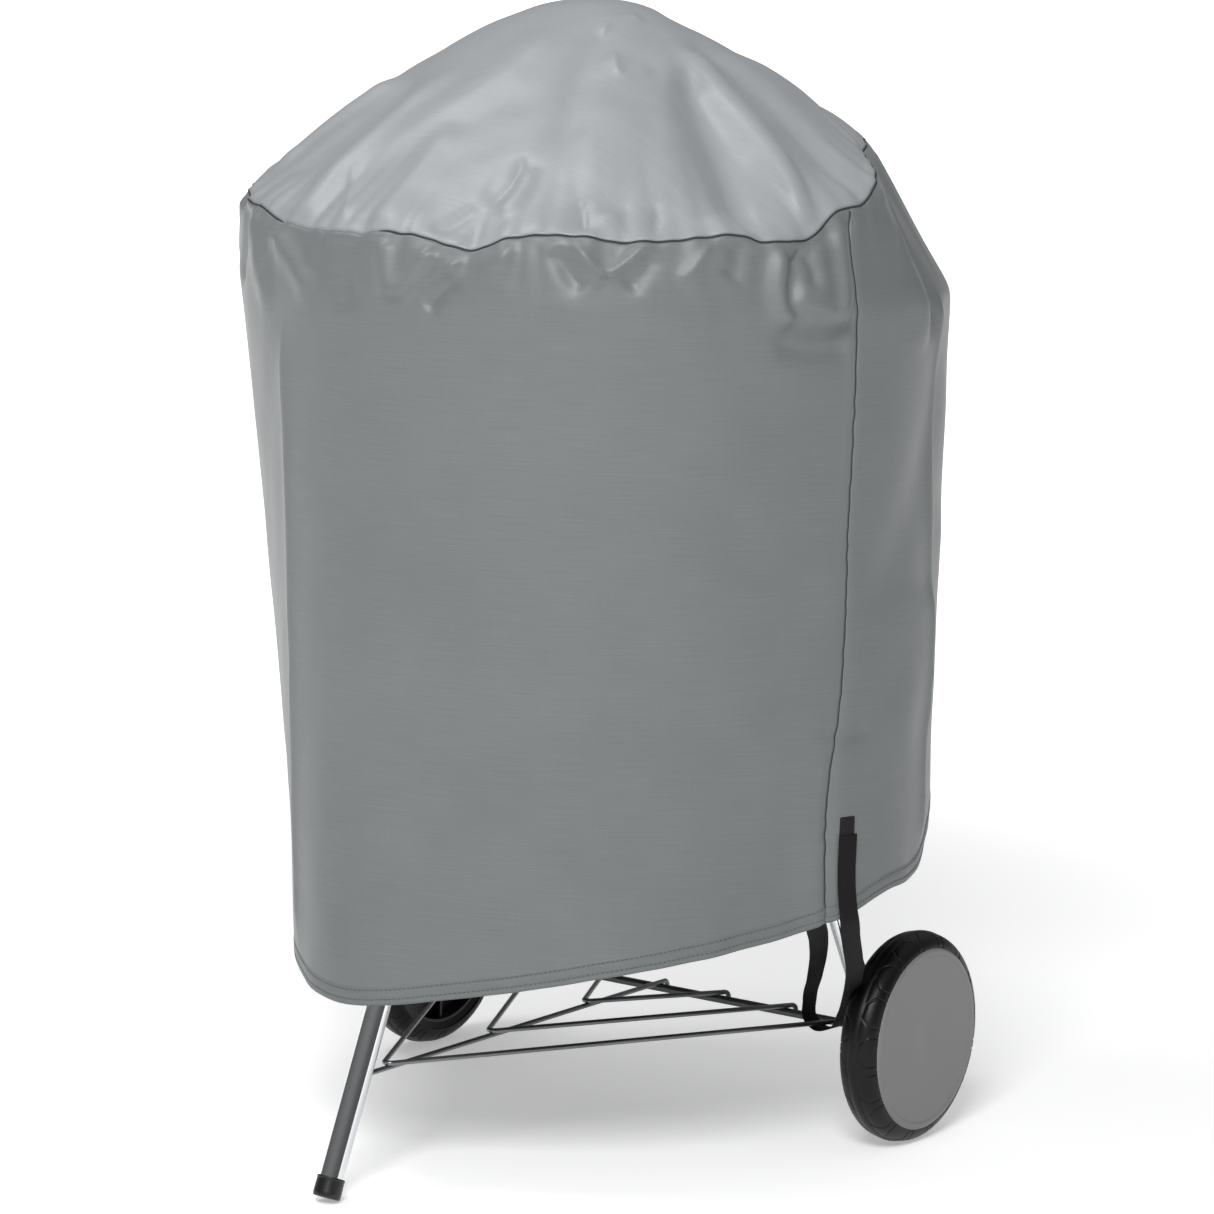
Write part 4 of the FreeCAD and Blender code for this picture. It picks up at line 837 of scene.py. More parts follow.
@dataclass
class FabricCover:
    """The cover: a top panel, a front and a rear panel, their seams with lines of painted shadow,
    hem and stitches.
    """

    shape: CoverShape
    finishes: Finishes
    map_reach: float = 0.33
    cloth_thick: float = 1.0 * MM
    hem_width: float = 17 * MM
    hem_fold: float = 1.3 * MM
    stitch_pitch: float = 4.4 * MM
    stitch_length: float = 3.2 * MM
    stitch_rows: tuple[float, ...] = (5 * MM, 14 * MM)
    shadow_line_radius: float = 1.1 * MM
    top_rows: int = 112
    top_columns: int = 540
    side_pitch: float = 3.2 * MM
    right_seam: tuple[tuple[float, float], ...] = (
        (0.0, -8.8), (0.04, -9.6), (0.08, -9.6), (0.14, -9.3), (0.3, -9.0), (0.45, -9.2),
        (0.6, -9.0), (0.7, -9.4), (0.78, -10.6), (0.88, -10.9), (1.0, -10.2))
    left_seam: tuple[tuple[float, float], ...] = (
        (0.0, -168.2), (0.12, -169.6), (0.3, -170.6), (0.5, -170.2), (0.66, -171.0),
        (0.8, -169.6), (0.9, -169.0), (1.0, -169.8))
    top_folds: tuple[Fold, ...] = (
        Fold(((126, -44), (165, -72), (205, -100), (245, -128), (290, -152)), 28, -16),
        Fold(((108, -40), (150, -96), (186, -150), (226, -200)), 16, 4, lean=1.4),
        Fold(((104, -34), (140, -38), (186, -56), (247, -73), (312, -90)), 14, 11, lean=1.3),
        Fold(((95, -19), (187, -14), (240, -20), (305, -24)), 22, -7),
        Fold(((120, 32), (150, 44), (190, 54), (236, 60), (282, 44)), 18, 4, lean=0.7),
        Fold(((64, 6), (119, 52), (170, 86), (222, 120)), 14, 2, lean=0.7),
        Fold(((40, 24), (90, 60), (140, 92), (190, 126)), 40, -7),
        Fold(((48, -40), (55, -66), (67, -116), (98, -180), (112, -214)), 17, -4),
        Fold(((20, -50), (0, -132), (-66, -205), (-172, -251)), 30, 5, lean=0.7),
        Fold(((58, -76), (52, -50), (70, -22)), 8, 3.5, crisp=True),
        Fold(((78, -84), (104, -106), (122, -78)), 8, 3.5, crisp=True),
        Fold(((130, -118), (150, -170), (160, -226)), 30, 4),
        Fold(((76, -212), (82, -238), (72, -262)), 8, -6, crisp=True),
        Fold(((66, -262), (52, -284), (34, -300)), 8, -4),
        Fold(((92, -220), (100, -246), (92, -272)), 13, 4, lean=0.6),
        Fold(((150, -228), (172, -254), (184, -272)), 10, -7, crisp=True),
        Fold(((176, -222), (194, -240), (208, -258)), 12, 5),
        Fold(((206, -190), (220, -212), (234, -236)), 9, -5, crisp=True),
        Fold(((246, -166), (264, -176), (284, -182)), 12, 4),
        Fold(((-100, -226), (-80, -262), (-58, -298)), 6, 3, crisp=True),
        Fold(((-110, -110), (-150, -160), (-186, -222)), 24, -6),
        Fold(((-70, -120), (-96, -182), (-116, -240), (-122, -296)), 22, 5, lean=0.7),
        Fold(((-12, -190), (-24, -246), (-30, -306)), 18, 4),
        Fold(((-150, -90), (-208, -134), (-250, -178)), 22, 7, lean=0.7),
        Fold(((-170, -60), (-240, -82), (-300, -92)), 22, -7),
        Fold(((-190, 40), (-250, 58), (-300, 66)), 26, 7, lean=0.7),
        Fold(((-150, 110), (-200, 160), (-232, 196)), 30, 6),
        Fold(((-60, 140), (-80, 210), (-96, 282)), 30, 5),
        Fold(((40, 150), (50, 220), (66, 290)), 32, -6),
        Fold(((110, 120), (150, 190), (180, 240)), 26, 6, lean=0.7),
        Fold(((-20, 170), (-16, 230), (-14, 296)), 22, -4))
    side_folds: tuple[Fold, ...] = (
        Fold(((-22, 0.882), (-24.5, 0.840), (-23, 0.795)), 0.010, 8, lean=0.6),
        Fold(((-12.6, 0.900), (-12.4, 0.840), (-13.6, 0.795)), 0.010, 9, lean=1.4),
        Fold(((-23, 0.832), (-18, 0.818), (-12, 0.806)), 0.016, 7, lean=1.6),
        Fold(((-23.8, 0.882), (-22, 0.857), (-18, 0.882)), 0.006, -6, crisp=True),
        Fold(((-19.5, 0.868), (-18.4, 0.850), (-18.8, 0.832)), 0.007, -5),
        Fold(((-17.5, 0.880), (-17, 0.842), (-18, 0.800)), 0.020, 6),
        Fold(((-24.5, 0.812), (-19, 0.803), (-11.5, 0.807)), 0.010, 4, lean=0.6, fade=0.12),
        Fold(((-26, 0.790), (-18, 0.781), (-10, 0.785)), 0.012, -4),
        Fold(((-79.5, 0.880), (-83, 0.846), (-88, 0.808)), 0.011, 8, lean=0.6),
        Fold(((-74, 0.866), (-78, 0.846), (-84, 0.826)), 0.006, 5, crisp=True),
        Fold(((-90.5, 0.874), (-90, 0.846), (-88, 0.812)), 0.012, 6),
        Fold(((-76, 0.840), (-79, 0.824), (-82, 0.806)), 0.010, -5),
        Fold(((-58.5, 0.884), (-55.5, 0.862), (-51.8, 0.844)), 0.007, 7, crisp=True, fade=0.12),
        Fold(((-45.5, 0.884), (-48.5, 0.862), (-52.2, 0.844)), 0.007, 7, crisp=True, fade=0.12),
        Fold(((-60.5, 0.872), (-58.5, 0.852), (-55, 0.832)), 0.009, -4),
        Fold(((-45, 0.868), (-46.5, 0.850), (-49, 0.832)), 0.009, -4),
        Fold(((-35, 0.884), (-37.5, 0.860), (-41.5, 0.838)), 0.008, 5, crisp=True),
        Fold(((-31, 0.880), (-31.5, 0.858), (-33, 0.840)), 0.010, -4),
        Fold(((-68, 0.880), (-69, 0.858), (-72, 0.838)), 0.010, 4),
        Fold(((-122, 0.872), (-114, 0.846), (-104, 0.806)), 0.014, 6, lean=0.7),
        Fold(((-130, 0.884), (-126, 0.846), (-118, 0.790)), 0.020, 5, lean=0.6),
        Fold(((-100, 0.872), (-99, 0.840), (-96, 0.80)), 0.014, -4),
        Fold(((-139, 0.890), (-137, 0.850), (-138, 0.80)), 0.018, -5),
        Fold(((-146, 0.895), (-150, 0.86), (-154, 0.82)), 0.02, 6),
        Fold(((2, 0.905), (6, 0.850), (10, 0.765)), 0.022, 6, lean=0.55),
        Fold(((10, 0.915), (13, 0.850), (12, 0.770)), 0.014, -4),
        Fold(((24, 0.800), (16, 0.700), (4, 0.600), (-4, 0.520)), 0.036, -5),
        Fold(((14, 0.560), (10, 0.470), (2, 0.400)), 0.034, 4),
        Fold(((26, 0.640), (20, 0.500), (18, 0.400)), 0.034, 3.5),
        Fold(((-14, 0.430), (-8, 0.424), (-2, 0.430)), 0.008, -3, crisp=True),
        Fold(((16.5, 0.826), (15.6, 0.600), (15.0, 0.300)), 0.012, 5, crisp=True, fade=0.06),
        Fold(((-115, 0.79), (-113.5, 0.55), (-112.5, 0.19)), 0.016, 5, crisp=True, fade=0.1),
        Fold(((-164, 0.826), (-160, 0.640), (-157, 0.420)), 0.022, 4),
        Fold(((-60, 0.62), (-40, 0.60), (-22, 0.63)), 0.06, -2),
        Fold(((165, 0.83), (164, 0.60), (163, 0.36)), 0.016, 5, crisp=True, fade=0.08),
        Fold(((140, 0.88), (136, 0.70), (132, 0.45)), 0.04, -6),
        Fold(((120, 0.86), (116, 0.72), (118, 0.50)), 0.036, 5),
        Fold(((100, 0.88), (98, 0.78), (92, 0.62)), 0.03, -4),
        Fold(((80, 0.87), (78, 0.72), (82, 0.46)), 0.04, 5),
        Fold(((62, 0.88), (58, 0.74), (56, 0.50)), 0.04, -6),
        Fold(((44, 0.90), (46, 0.80), (42, 0.60)), 0.03, 5))
    edges: dict[str, np.ndarray] = field(default_factory=dict)

    def build(self) -> None:
        """Makes every piece of cloth, its sewing and the painted shadow lines of its seams, and
        lets them ride on the cover.
        """
        top = self.top_panel()
        front = self.side_panel("front", self.left_seam, self.right_seam, 160.0, 0.0)
        rear = self.side_panel("rear", self.right_seam, self.left_seam, 200.0, 360.0)
        # The seam lines are dark tubes of painted shadow, not sewn pieces.
        sewn = [self.rim_shadow_line(), *self.side_shadow_lines()]
        hems = [self.hem("front"), self.hem("rear")]
        stitches = [self.hem_stitches("front"), self.hem_stitches("rear")]
        for piece in (top, front, rear, *sewn, *hems, *stitches):
            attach(piece, Body.COVER.value)
            LOG.info("cover piece %s: %d faces", piece.name, len(piece.data.polygons))
        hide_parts("cover_top_panel")
        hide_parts("cover_front_panel")
        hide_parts("cover_rear_panel")

    def gathers(self, azimuth: np.ndarray, distance: np.ndarray, seed: int,
                reach: float, height: float) -> np.ndarray:
        """Small ripples that run away from the rim seam, where the cloth is gathered.

        Args:
            azimuth: Azimuths in degrees.
            distance: Distance from the seam, in metres.
            seed: Chooses the ripples.
            reach: How far a usual ripple runs.
            height: How high a usual ripple stands.

        Returns:
            The lift, in metres.
        """
        random = np.random.default_rng(seed)
        lift = np.zeros(np.broadcast(azimuth, distance).shape)
        place = -180.0
        while place < 178:
            width = random.uniform(1.1, 2.6)
            length = reach * random.uniform(0.5, 1.7)
            size = height * random.uniform(-1.0, 1.0)
            drift = random.uniform(-60, 60)
            off = (azimuth - place - drift * distance + 180) % 360 - 180
            lift += size * np.exp(-(off / width) ** 2 - distance / length)
            place += random.uniform(2.6, 7.5)
        return lift

    def top_panel(self) -> bpy.types.Object:
        """The top panel, from the crown over the lid's handle to the rim seam."""
        share = np.linspace(0, 1, self.top_rows) ** 0.9
        share = share[:, None]
        azimuth = np.linspace(-180, 180, self.top_columns, endpoint=False)[None, :]
        share, azimuth = np.broadcast_arrays(share, azimuth)
        points = self.shape.top(azimuth, share)
        seam_reach, _ = self.shape.seam(azimuth)
        gap = seam_reach * (1 - share)
        x, y = points[..., 0], points[..., 1] - self.shape.axis_y
        lift = np.zeros(x.shape)
        for fold in self.top_folds:
            lift += fold.lift(x / MM, y / MM) * MM
        lift += self.gathers(azimuth, gap, 5, 26 * MM, 3.2 * MM)
        lift += soft_noise(points, 0.16, 3) * 1.2 * MM + soft_noise(points, 0.055, 4) * 0.35 * MM
        lift *= ease(share / 0.2)
        away = ease(gap / (14 * MM))
        lift = lift * away + self.shape.pinch * (1 - np.exp(-gap / (7 * MM)))
        normals = grid_normals(points, closed=True)
        normals *= np.sign(normals[..., 2:3] + 1e-9)
        normals[0] = (0, 0, 1)
        points = points + normals * lift[..., None]
        piece = surface_object("cover_top", points, closed=True,
                               cloth=np.stack([points[..., 0], points[..., 1]], axis=-1))
        self.finish_cloth(piece, self.finishes.top_cloth)
        return piece

    def side_panel(self, word: str, first: tuple, last: tuple, span: float,
                   add: float) -> bpy.types.Object:
        """One side panel, from the rim seam to the hem and from side seam to side seam.

        Args:
            word: "front" or "rear".
            first: The azimuth of the seam where the panel starts, by share of the drop.
            last: The azimuth of the seam where it ends.
            span: About how many degrees it goes round.
            add: What is added to the last azimuth so that the panel goes the right way.

        Returns:
            The panel.
        """
        columns = int(math.radians(span) * self.map_reach / self.side_pitch)
        rows = 226 if word == "front" else 206
        drop = np.linspace(0, 1, rows)[:, None]
        across = np.linspace(0, 1, columns)[None, :]
        seam_first = hermite(*map(np.array, zip(*first)), drop[:, 0])[:, None]
        seam_last = hermite(*map(np.array, zip(*last)), drop[:, 0])[:, None] + add
        azimuth = seam_first + (seam_last - seam_first) * across
        drop, azimuth = np.broadcast_arrays(drop, azimuth)
        drop, azimuth = drop.copy(), azimuth.copy()
        points = self.shape.side(azimuth, drop)
        folded = (azimuth + 180) % 360 - 180
        arc = np.radians(folded) * self.map_reach
        height = points[..., 2]
        lift = np.zeros(arc.shape)
        for fold in self.side_folds:
            lift += fold.lift(arc, height, math.radians(1) * self.map_reach) * MM
        _, seam_height = self.shape.seam(azimuth)
        below = seam_height - height
        lift += self.gathers(azimuth, below, 8, 24 * MM, 3.4 * MM)
        lift += soft_noise(points * (1, 1, 0.45), 0.22, 11) * 1.6 * MM
        lift += soft_noise(points * (1, 1, 0.6), 0.07, 12) * 0.35 * MM
        hem = self.shape.hem_height(azimuth)
        above_hem = height - hem
        lift += (soft_noise(points * (1, 1, 0.3), 0.05, 13) * 0.9 * MM
                 * np.exp(-above_hem / (40 * MM)))
        edge = np.minimum(across, 1 - across) * math.radians(span) * self.map_reach
        lift *= 0.25 + 0.75 * ease(edge / (16 * MM))
        pucker = soft_noise(points * (0, 0, 1), 0.02, 14) * 0.5 * MM
        lift -= (2.6 * MM + pucker) * np.exp(-(edge / (5 * MM)) ** 2) * ease(below / (10 * MM))
        lift = lift * ease(below / (14 * MM)) + self.shape.pinch * (1 - np.exp(-below / (7 * MM)))
        points = points + self.shape.outward(azimuth) * lift[..., None]
        self.edges[word] = points
        piece = surface_object(f"cover_{word}", points,
                               cloth=np.stack([np.radians(azimuth) * self.map_reach, height],
                                              axis=-1))
        self.finish_cloth(piece, self.finishes.side_cloth)
        return piece

    def finish_cloth(self, piece: bpy.types.Object, material: bpy.types.Material) -> None:
        """Gives a sheet its material and its thickness, on the inner side."""
        piece.data.materials.append(material)
        solid = piece.modifiers.new("cloth_thickness", "SOLIDIFY")
        solid.thickness = self.cloth_thick
        solid.offset = -1.0

    def tube(self, name: str, line: np.ndarray, radius: float, closed: bool,
             material: bpy.types.Material, sides: int = 8) -> bpy.types.Object:
        """A thin round tube along a line: here, a seam's line of painted shadow.

        Args:
            name: The piece's name.
            line: Points along its middle.
            radius: Its radius.
            closed: Whether it closes on itself.
            material: Its finish.
            sides: How many sides the tube has.

        Returns:
            The binding.
        """
        wide = np.concatenate([line[-1:], line, line[:1]]) if closed else line
        along = np.gradient(wide, axis=0)
        along = along[1:-1] if closed else along
        along /= np.linalg.norm(along, axis=1, keepdims=True)
        out = line - np.array([0, self.shape.axis_y, 0])
        out[:, 2] = 0
        out -= along * np.sum(out * along, axis=1, keepdims=True)
        out /= np.linalg.norm(out, axis=1, keepdims=True)
        third = np.cross(along, out)
        turns = np.linspace(0, math.tau, sides, endpoint=False)
        loops = (line[:, None] + radius * (np.cos(turns)[None, :, None] * out[:, None]
                                           + np.sin(turns)[None, :, None] * third[:, None]))
        piece = loops_object(name, loops, capped=not closed, closed=closed)
        piece.data.materials.append(material)
        return piece

    def rim_shadow_line(self) -> bpy.types.Object:
        """The dark line in the pinch of the rim seam: a thin tube of painted shadow, set deeper
        over part of the front.
        """
        azimuth = np.linspace(-180, 180, 900, endpoint=False)
        reach, height = self.shape.seam(azimuth)
        hidden = ease((azimuth + 122) / 6) * ease((-89 - azimuth) / 6)
        reach = reach + (0.7 - 1.3 * hidden) * MM
        line = self.shape.point(azimuth, reach, height)
        return self.tube("rim_seam_binding", line, self.shadow_line_radius, True,
                         self.finishes.piping)

    def side_shadow_lines(self) -> list[bpy.types.Object]:
        """The dark lines along the two side seams: thin tubes of painted shadow."""
        made = []
        for side, column in ((Side.RIGHT, -1), (Side.LEFT, 0)):
            line = self.edges["front"][:, column].copy()
            out = line - np.array([0, self.shape.axis_y, 0])
            out[:, 2] = 0
            out /= np.linalg.norm(out, axis=1, keepdims=True)
            line += out * 0.4 * MM
            made.append(self.tube(f"{side.word}_seam_binding", line[1:-5],
                                  self.shadow_line_radius, False, self.finishes.piping))
        return made

    def above_edge(self, word: str, heights: np.ndarray) -> np.ndarray:
        """Points of a side panel at given distances above its lower edge.

        Args:
            word: "front" or "rear".
            heights: Distances above the edge along the cloth, in metres.

        Returns:
            Columns of the panel by heights by 3.
        """
        grid = self.edges[word][::-1]
        low = grid[:24]
        steps = np.linalg.norm(np.diff(low, axis=0), axis=-1)
        along = np.concatenate([np.zeros((1, low.shape[1])), np.cumsum(steps, axis=0)])
        result = np.empty((low.shape[1], len(heights), 3))
        for column in range(low.shape[1]):
            for axis in range(3):
                result[column, :, axis] = np.interp(heights, along[:, column],
                                                    low[:, column, axis])
        return result

    def outward_from(self, points: np.ndarray) -> np.ndarray:
        """The level direction away from the kettle's axis at each point."""
        out = points - np.array([0, self.shape.axis_y, 0])
        out[..., 2] = 0
        return out / np.linalg.norm(out, axis=-1, keepdims=True)

    def hem(self, word: str) -> bpy.types.Object:
        """The hem: the cloth's edge folded up double and sewn down along two rows."""
        low, high = self.stitch_rows
        width, fold = self.hem_width, self.hem_fold
        dent = 0.45 * MM
        outer = [(width, 0.1 * MM), (width - 0.5 * MM, fold), (high + 1.6 * MM, fold),
                 (high, fold - dent), (high - 1.6 * MM, fold), ((low + high) / 2, fold + 0.2 * MM),
                 (low + 1.6 * MM, fold), (low, fold - dent), (low - 1.6 * MM, fold),
                 (1.0 * MM, fold), (-0.3 * MM, 0.6 * fold), (-0.8 * MM, 0.0)]
        inner = [(-0.3 * MM, -1.6 * MM), (1.2 * MM, -2.2 * MM), (width - 1 * MM, -2.2 * MM),
                 (width, -1.1 * MM)]
        section = np.array(outer + inner)
        base = self.above_edge(word, np.maximum(section[:, 0], 0))
        base[..., 2] += np.minimum(section[:, 0], 0)
        loops = base + self.outward_from(base) * section[None, :, 1:2]
        length = np.linalg.norm(np.diff(base[:, 0], axis=0), axis=-1)
        run = np.concatenate([[0], np.cumsum(length)])
        cloth = np.stack(np.broadcast_arrays(run[:, None], section[None, :, 0]), axis=-1)
        piece = loops_object(f"{word}_hem", loops, capped=True, cloth=cloth)
        piece.data.materials.append(self.finishes.hem_cloth)
        return piece

    def hem_stitches(self, word: str) -> bpy.types.Object:
        """Two rows of lock stitches, each stitch a short rounded run of thread."""
        rows = np.array(self.stitch_rows)
        base = self.above_edge(word, rows)
        base = base + self.outward_from(base) * (self.hem_fold - 0.15 * MM)
        sides, rings = 6, (-1.0, -0.8, 0.8, 1.0)
        swell = (0.35, 1.0, 1.0, 0.35)
        radius = 0.45 * MM
        turns = np.linspace(0, math.tau, sides, endpoint=False)
        vertices: list[np.ndarray] = []
        faces: list[tuple[int, ...]] = []
        for row in range(len(rows)):
            line = base[:, row]
            steps = np.linalg.norm(np.diff(line, axis=0), axis=1)
            run = np.concatenate([[0], np.cumsum(steps)])
            for middle in np.arange(4 * MM, run[-1] - 4 * MM, self.stitch_pitch):
                ends = [np.array([np.interp(middle + s * self.stitch_length / 2, run, line[:, k])
                                  for k in range(3)]) for s in (-1, 1)]
                centre, along = (ends[0] + ends[1]) / 2, ends[1] - ends[0]
                length = np.linalg.norm(along)
                along = along / length
                out = self.outward_from(centre)
                third = np.cross(along, out)
                start = len(vertices)
                for ring, share in zip(rings, swell):
                    for turn in turns:
                        vertices.append(centre + along * ring * length / 2 + radius * share
                                        * (math.cos(turn) * out + math.sin(turn) * third))
                for ring in range(len(rings) - 1):
                    for k in range(sides):
                        a, b = start + ring * sides + k, start + ring * sides + (k + 1) % sides
                        faces.append((a, b, b + sides, a + sides))
                faces.append(tuple(start + k for k in reversed(range(sides))))
                faces.append(tuple(start + (len(rings) - 1) * sides + k for k in range(sides)))
        mesh = bpy.data.meshes.new(f"{word}_hem_stitches")
        mesh.from_pydata([tuple(v) for v in vertices], [], faces)
        mesh.polygons.foreach_set("use_smooth", np.ones(len(faces), bool))
        mesh.update()
        outward(mesh)
        piece = bpy.data.objects.new(mesh.name, mesh)
        bpy.context.scene.collection.objects.link(piece)
        piece.data.materials.append(self.finishes.thread)
        return piece

    def surface_point(self, azimuth: float, height: float, out: float) -> Vector:
        """A point on or near the side cloth.

        Args:
            azimuth: Its azimuth in degrees.
            height: Its height.
            out: How far it stands out from the cloth.

        Returns:
            The point.
        """
        word = "front" if -169.8 < azimuth < -10.2 else "rear"
        grid = self.edges[word]
        flat = grid.reshape(-1, 3)
        turn = np.degrees(np.arctan2(flat[:, 1] - self.shape.axis_y, flat[:, 0]))
        off = np.radians((turn - azimuth + 180) % 360 - 180) * self.map_reach
        nearest = flat[np.argmin(off ** 2 + (flat[:, 2] - height) ** 2)]
        reach = math.hypot(nearest[0], nearest[1] - self.shape.axis_y) + out
        angle = math.radians(azimuth)
        return Vector((reach * math.cos(angle), self.shape.axis_y + reach * math.sin(angle),
                       height))


@dataclass
class Strap:
    """A hook-and-loop patch, the webbing that starts on it, and the rivet at its other end.

    The webbing runs down over the hem, under the outer wire of the rack and back up inside.
    """

    side: Side
    cover: FabricCover
    finishes: Finishes
    width: float = 20 * MM
    thick: float = 1.6 * MM
    patch_width: float = 15 * MM
    patch_azimuth: float = -7.4
    patch_low: float = 0.322
    patch_high: float = 0.350
    inner_azimuth: float = -9.0
    rivet_radius: float = 3.2 * MM
    anchor_height: float = 0.262
    crumple: float = 0.16

    def route(self) -> np.ndarray:
        """The middle line of the webbing, from the patch round the wire to the rivet."""
        kettle = self.cover.shape.axis_y
        on_cloth = [self.cloth_point(self.patch_azimuth + turn, height, out)
                    for turn, height, out in ((0, 0.334, 2.9 * MM), (0, 0.320, 2.7 * MM),
                                              (0.1, 0.30, 2.2 * MM), (0.3, 0.278, 2.6 * MM),
                                              (0.8, 0.258, 3.2 * MM))]
        hanging = [Vector((x, kettle + y, z)) for x, y, z in (
            (0.323, -0.018, 0.232), (0.305, 0.018, 0.197), (0.273, 0.065, 0.158),
            (0.245, 0.098, 0.126), (0.230, 0.109, 0.109), (0.210, 0.111, 0.1030),
            (0.196, 0.113, 0.112), (0.197, 0.111, 0.130), (0.212, 0.095, 0.156),
            (0.238, 0.060, 0.188), (0.267, 0.014, 0.218), (0.293, -0.030, 0.246))]
        inside = [self.cloth_point(self.inner_azimuth, height, out)
                  for height, out in ((0.268, -12 * MM), (0.292, -11 * MM))]
        points = np.array([p[:] for p in on_cloth + hanging + inside])
        knots = np.concatenate([[0], np.cumsum(np.linalg.norm(np.diff(points, axis=0), axis=1))])
        fine = np.arange(0, knots[-1], 2 * MM)
        return np.stack([hermite(knots, points[:, k], fine) for k in range(3)], axis=1)

    def cloth_point(self, azimuth: float, height: float, out: float) -> Vector:
        """A point near the cloth, always given on the right side."""
        if self.side is Side.RIGHT:
            return self.cover.surface_point(azimuth, height, out)
        found = self.cover.surface_point(-180 - azimuth, height, out)
        return Vector((-found.x, found.y, found.z))

    def build(self) -> None:
        """Makes the patch, the webbing and the rivet."""
        webbing, line = self.webbing()
        patch = self.patch()
        rivet = self.rivet(line)
        for piece, node, slot in ((webbing, "strap", "webbing"), (patch, "hook_patch", "hook_pile"),
                                  (rivet, "strap_rivet", "rivet_steel")):
            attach(piece, Body.COVER.value)
            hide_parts(f"{self.side.word}_{node}")
            LOG.info("strap piece %s: %d faces", piece.name, len(piece.data.polygons))
        for piece in (webbing, rivet):
            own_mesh(piece)

    def tangent(self) -> np.ndarray:
        """The level direction along the cloth at the patch, given on the right side."""
        turn = 2.0
        low = self.cloth_point(self.patch_azimuth - turn, self.patch_low, 0)
        high = self.cloth_point(self.patch_azimuth + turn, self.patch_low, 0)
        return np.array((high - low).normalized())

    def webbing(self) -> tuple[bpy.types.Object, np.ndarray]:
        """The flat webbing with rounded edges, and its middle line."""
        line = self.route()
        along = np.gradient(line, axis=0)
        along /= np.linalg.norm(along, axis=1, keepdims=True)
        tangent = self.tangent()
        hung = ease((line[:, 2] - 0.20) / 0.06)[:, None]
        across = np.array([0.10, 1.0, 0.0]) * (1 - hung) + tangent * hung
        across -= along * np.sum(across * along, axis=1, keepdims=True)
        across /= np.linalg.norm(across, axis=1, keepdims=True)
        face = np.cross(along, across)
        half, thick = self.width / 2, self.thick / 2
        outline = rounded([(-half, -thick), (half, -thick), (half, thick), (-half, thick)],
                          0.7 * MM, steps=3)
        section = []
        for x, y in outline:
            section.append((x, y))
            if len(section) in (3, 9):
                section += [(half * s * (1 if y < 0 else -1), y) for s in (-0.5, 0.0, 0.5)]
        section = np.array(section)
        loops = (line[:, None] + across[:, None] * section[None, :, :1]
                 + face[:, None] * section[None, :, 1:])
        loops[..., 0] *= self.side.value
        run = np.arange(len(line)) * 2 * MM
        cloth = np.stack(np.broadcast_arrays(section[None, :, 0], run[:, None]), axis=-1)
        piece = loops_object(f"{self.side.word}_webbing", loops, capped=True, cloth=cloth)
        piece.data.materials.append(self.finishes.webbing)
        return piece, line

    def patch(self) -> bpy.types.Object:
        """The sewn patch of hook pile under the webbing's end."""
        columns, rows = 22, 30
        low, high = self.patch_low, self.patch_high
        half = math.degrees(self.patch_width / 2 / self.cover.map_reach)
        points = np.empty((rows, columns, 3))
        for i, height in enumerate(np.linspace(high, low, rows)):
            for k, turn in enumerate(np.linspace(-half, half, columns)):
                edge = min(i, rows - 1 - i, k, columns - 1 - k)
                out = 0.3 * MM if edge == 0 else 1.6 * MM
                points[i, k] = self.cloth_point(self.patch_azimuth + turn, height, out)
        rough = np.random.default_rng(21).uniform(0, 0.5 * MM, (rows, columns))
        rough[[0, -1]] = 0
        rough[:, [0, -1]] = 0
        points += self.cover.outward_from(points) * rough[..., None]
        points[..., 0] *= self.side.value
        piece = surface_object(f"{self.side.word}_hook_and_loop_patch",
                               points if self.side is Side.RIGHT else points[:, ::-1])
        piece.data.materials.append(self.finishes.hook_pile)
        solid = piece.modifiers.new("backing", "SOLIDIFY")
        solid.thickness = 0.8 * MM
        solid.offset = -1.0
        return piece

    def rivet(self, line: np.ndarray) -> bpy.types.Object:
        """The domed rivet near the webbing's inner end."""
        spot_index = len(line) - int(26 * MM / (2 * MM))
        spot = line[spot_index]
        along = line[spot_index + 1] - line[spot_index - 1]
        across = np.array([0.10, 1.0, 0.0])
        face = np.cross(along, across)
        face /= np.linalg.norm(face)
        if face[0] < 0:
            face = -face
        spot = spot + face * self.thick / 2
        spot[0] *= self.side.value
        face[0] *= self.side.value
        radius = self.rivet_radius
        dome = [(radius * math.cos(a), radius * 0.45 * math.sin(a))
                for a in np.linspace(0, math.pi / 2 - 0.05, 8)]
        profile = [(0.05 * MM, -self.thick), (radius * 0.5, -self.thick), (radius * 0.5, -0.2 * MM),
                   (radius, -0.2 * MM), *dome]
        turn = Vector(face).to_track_quat("Z", "Y").to_matrix().to_4x4()
        place = Matrix.Translation(Vector(spot)) @ turn
        piece = lathe(f"{self.side.word}_domed_rivet", profile, 28, place)
        piece.data.materials.append(self.finishes.rivet)
        return piece


# ---------------------------------------------------------------- wheels and foot


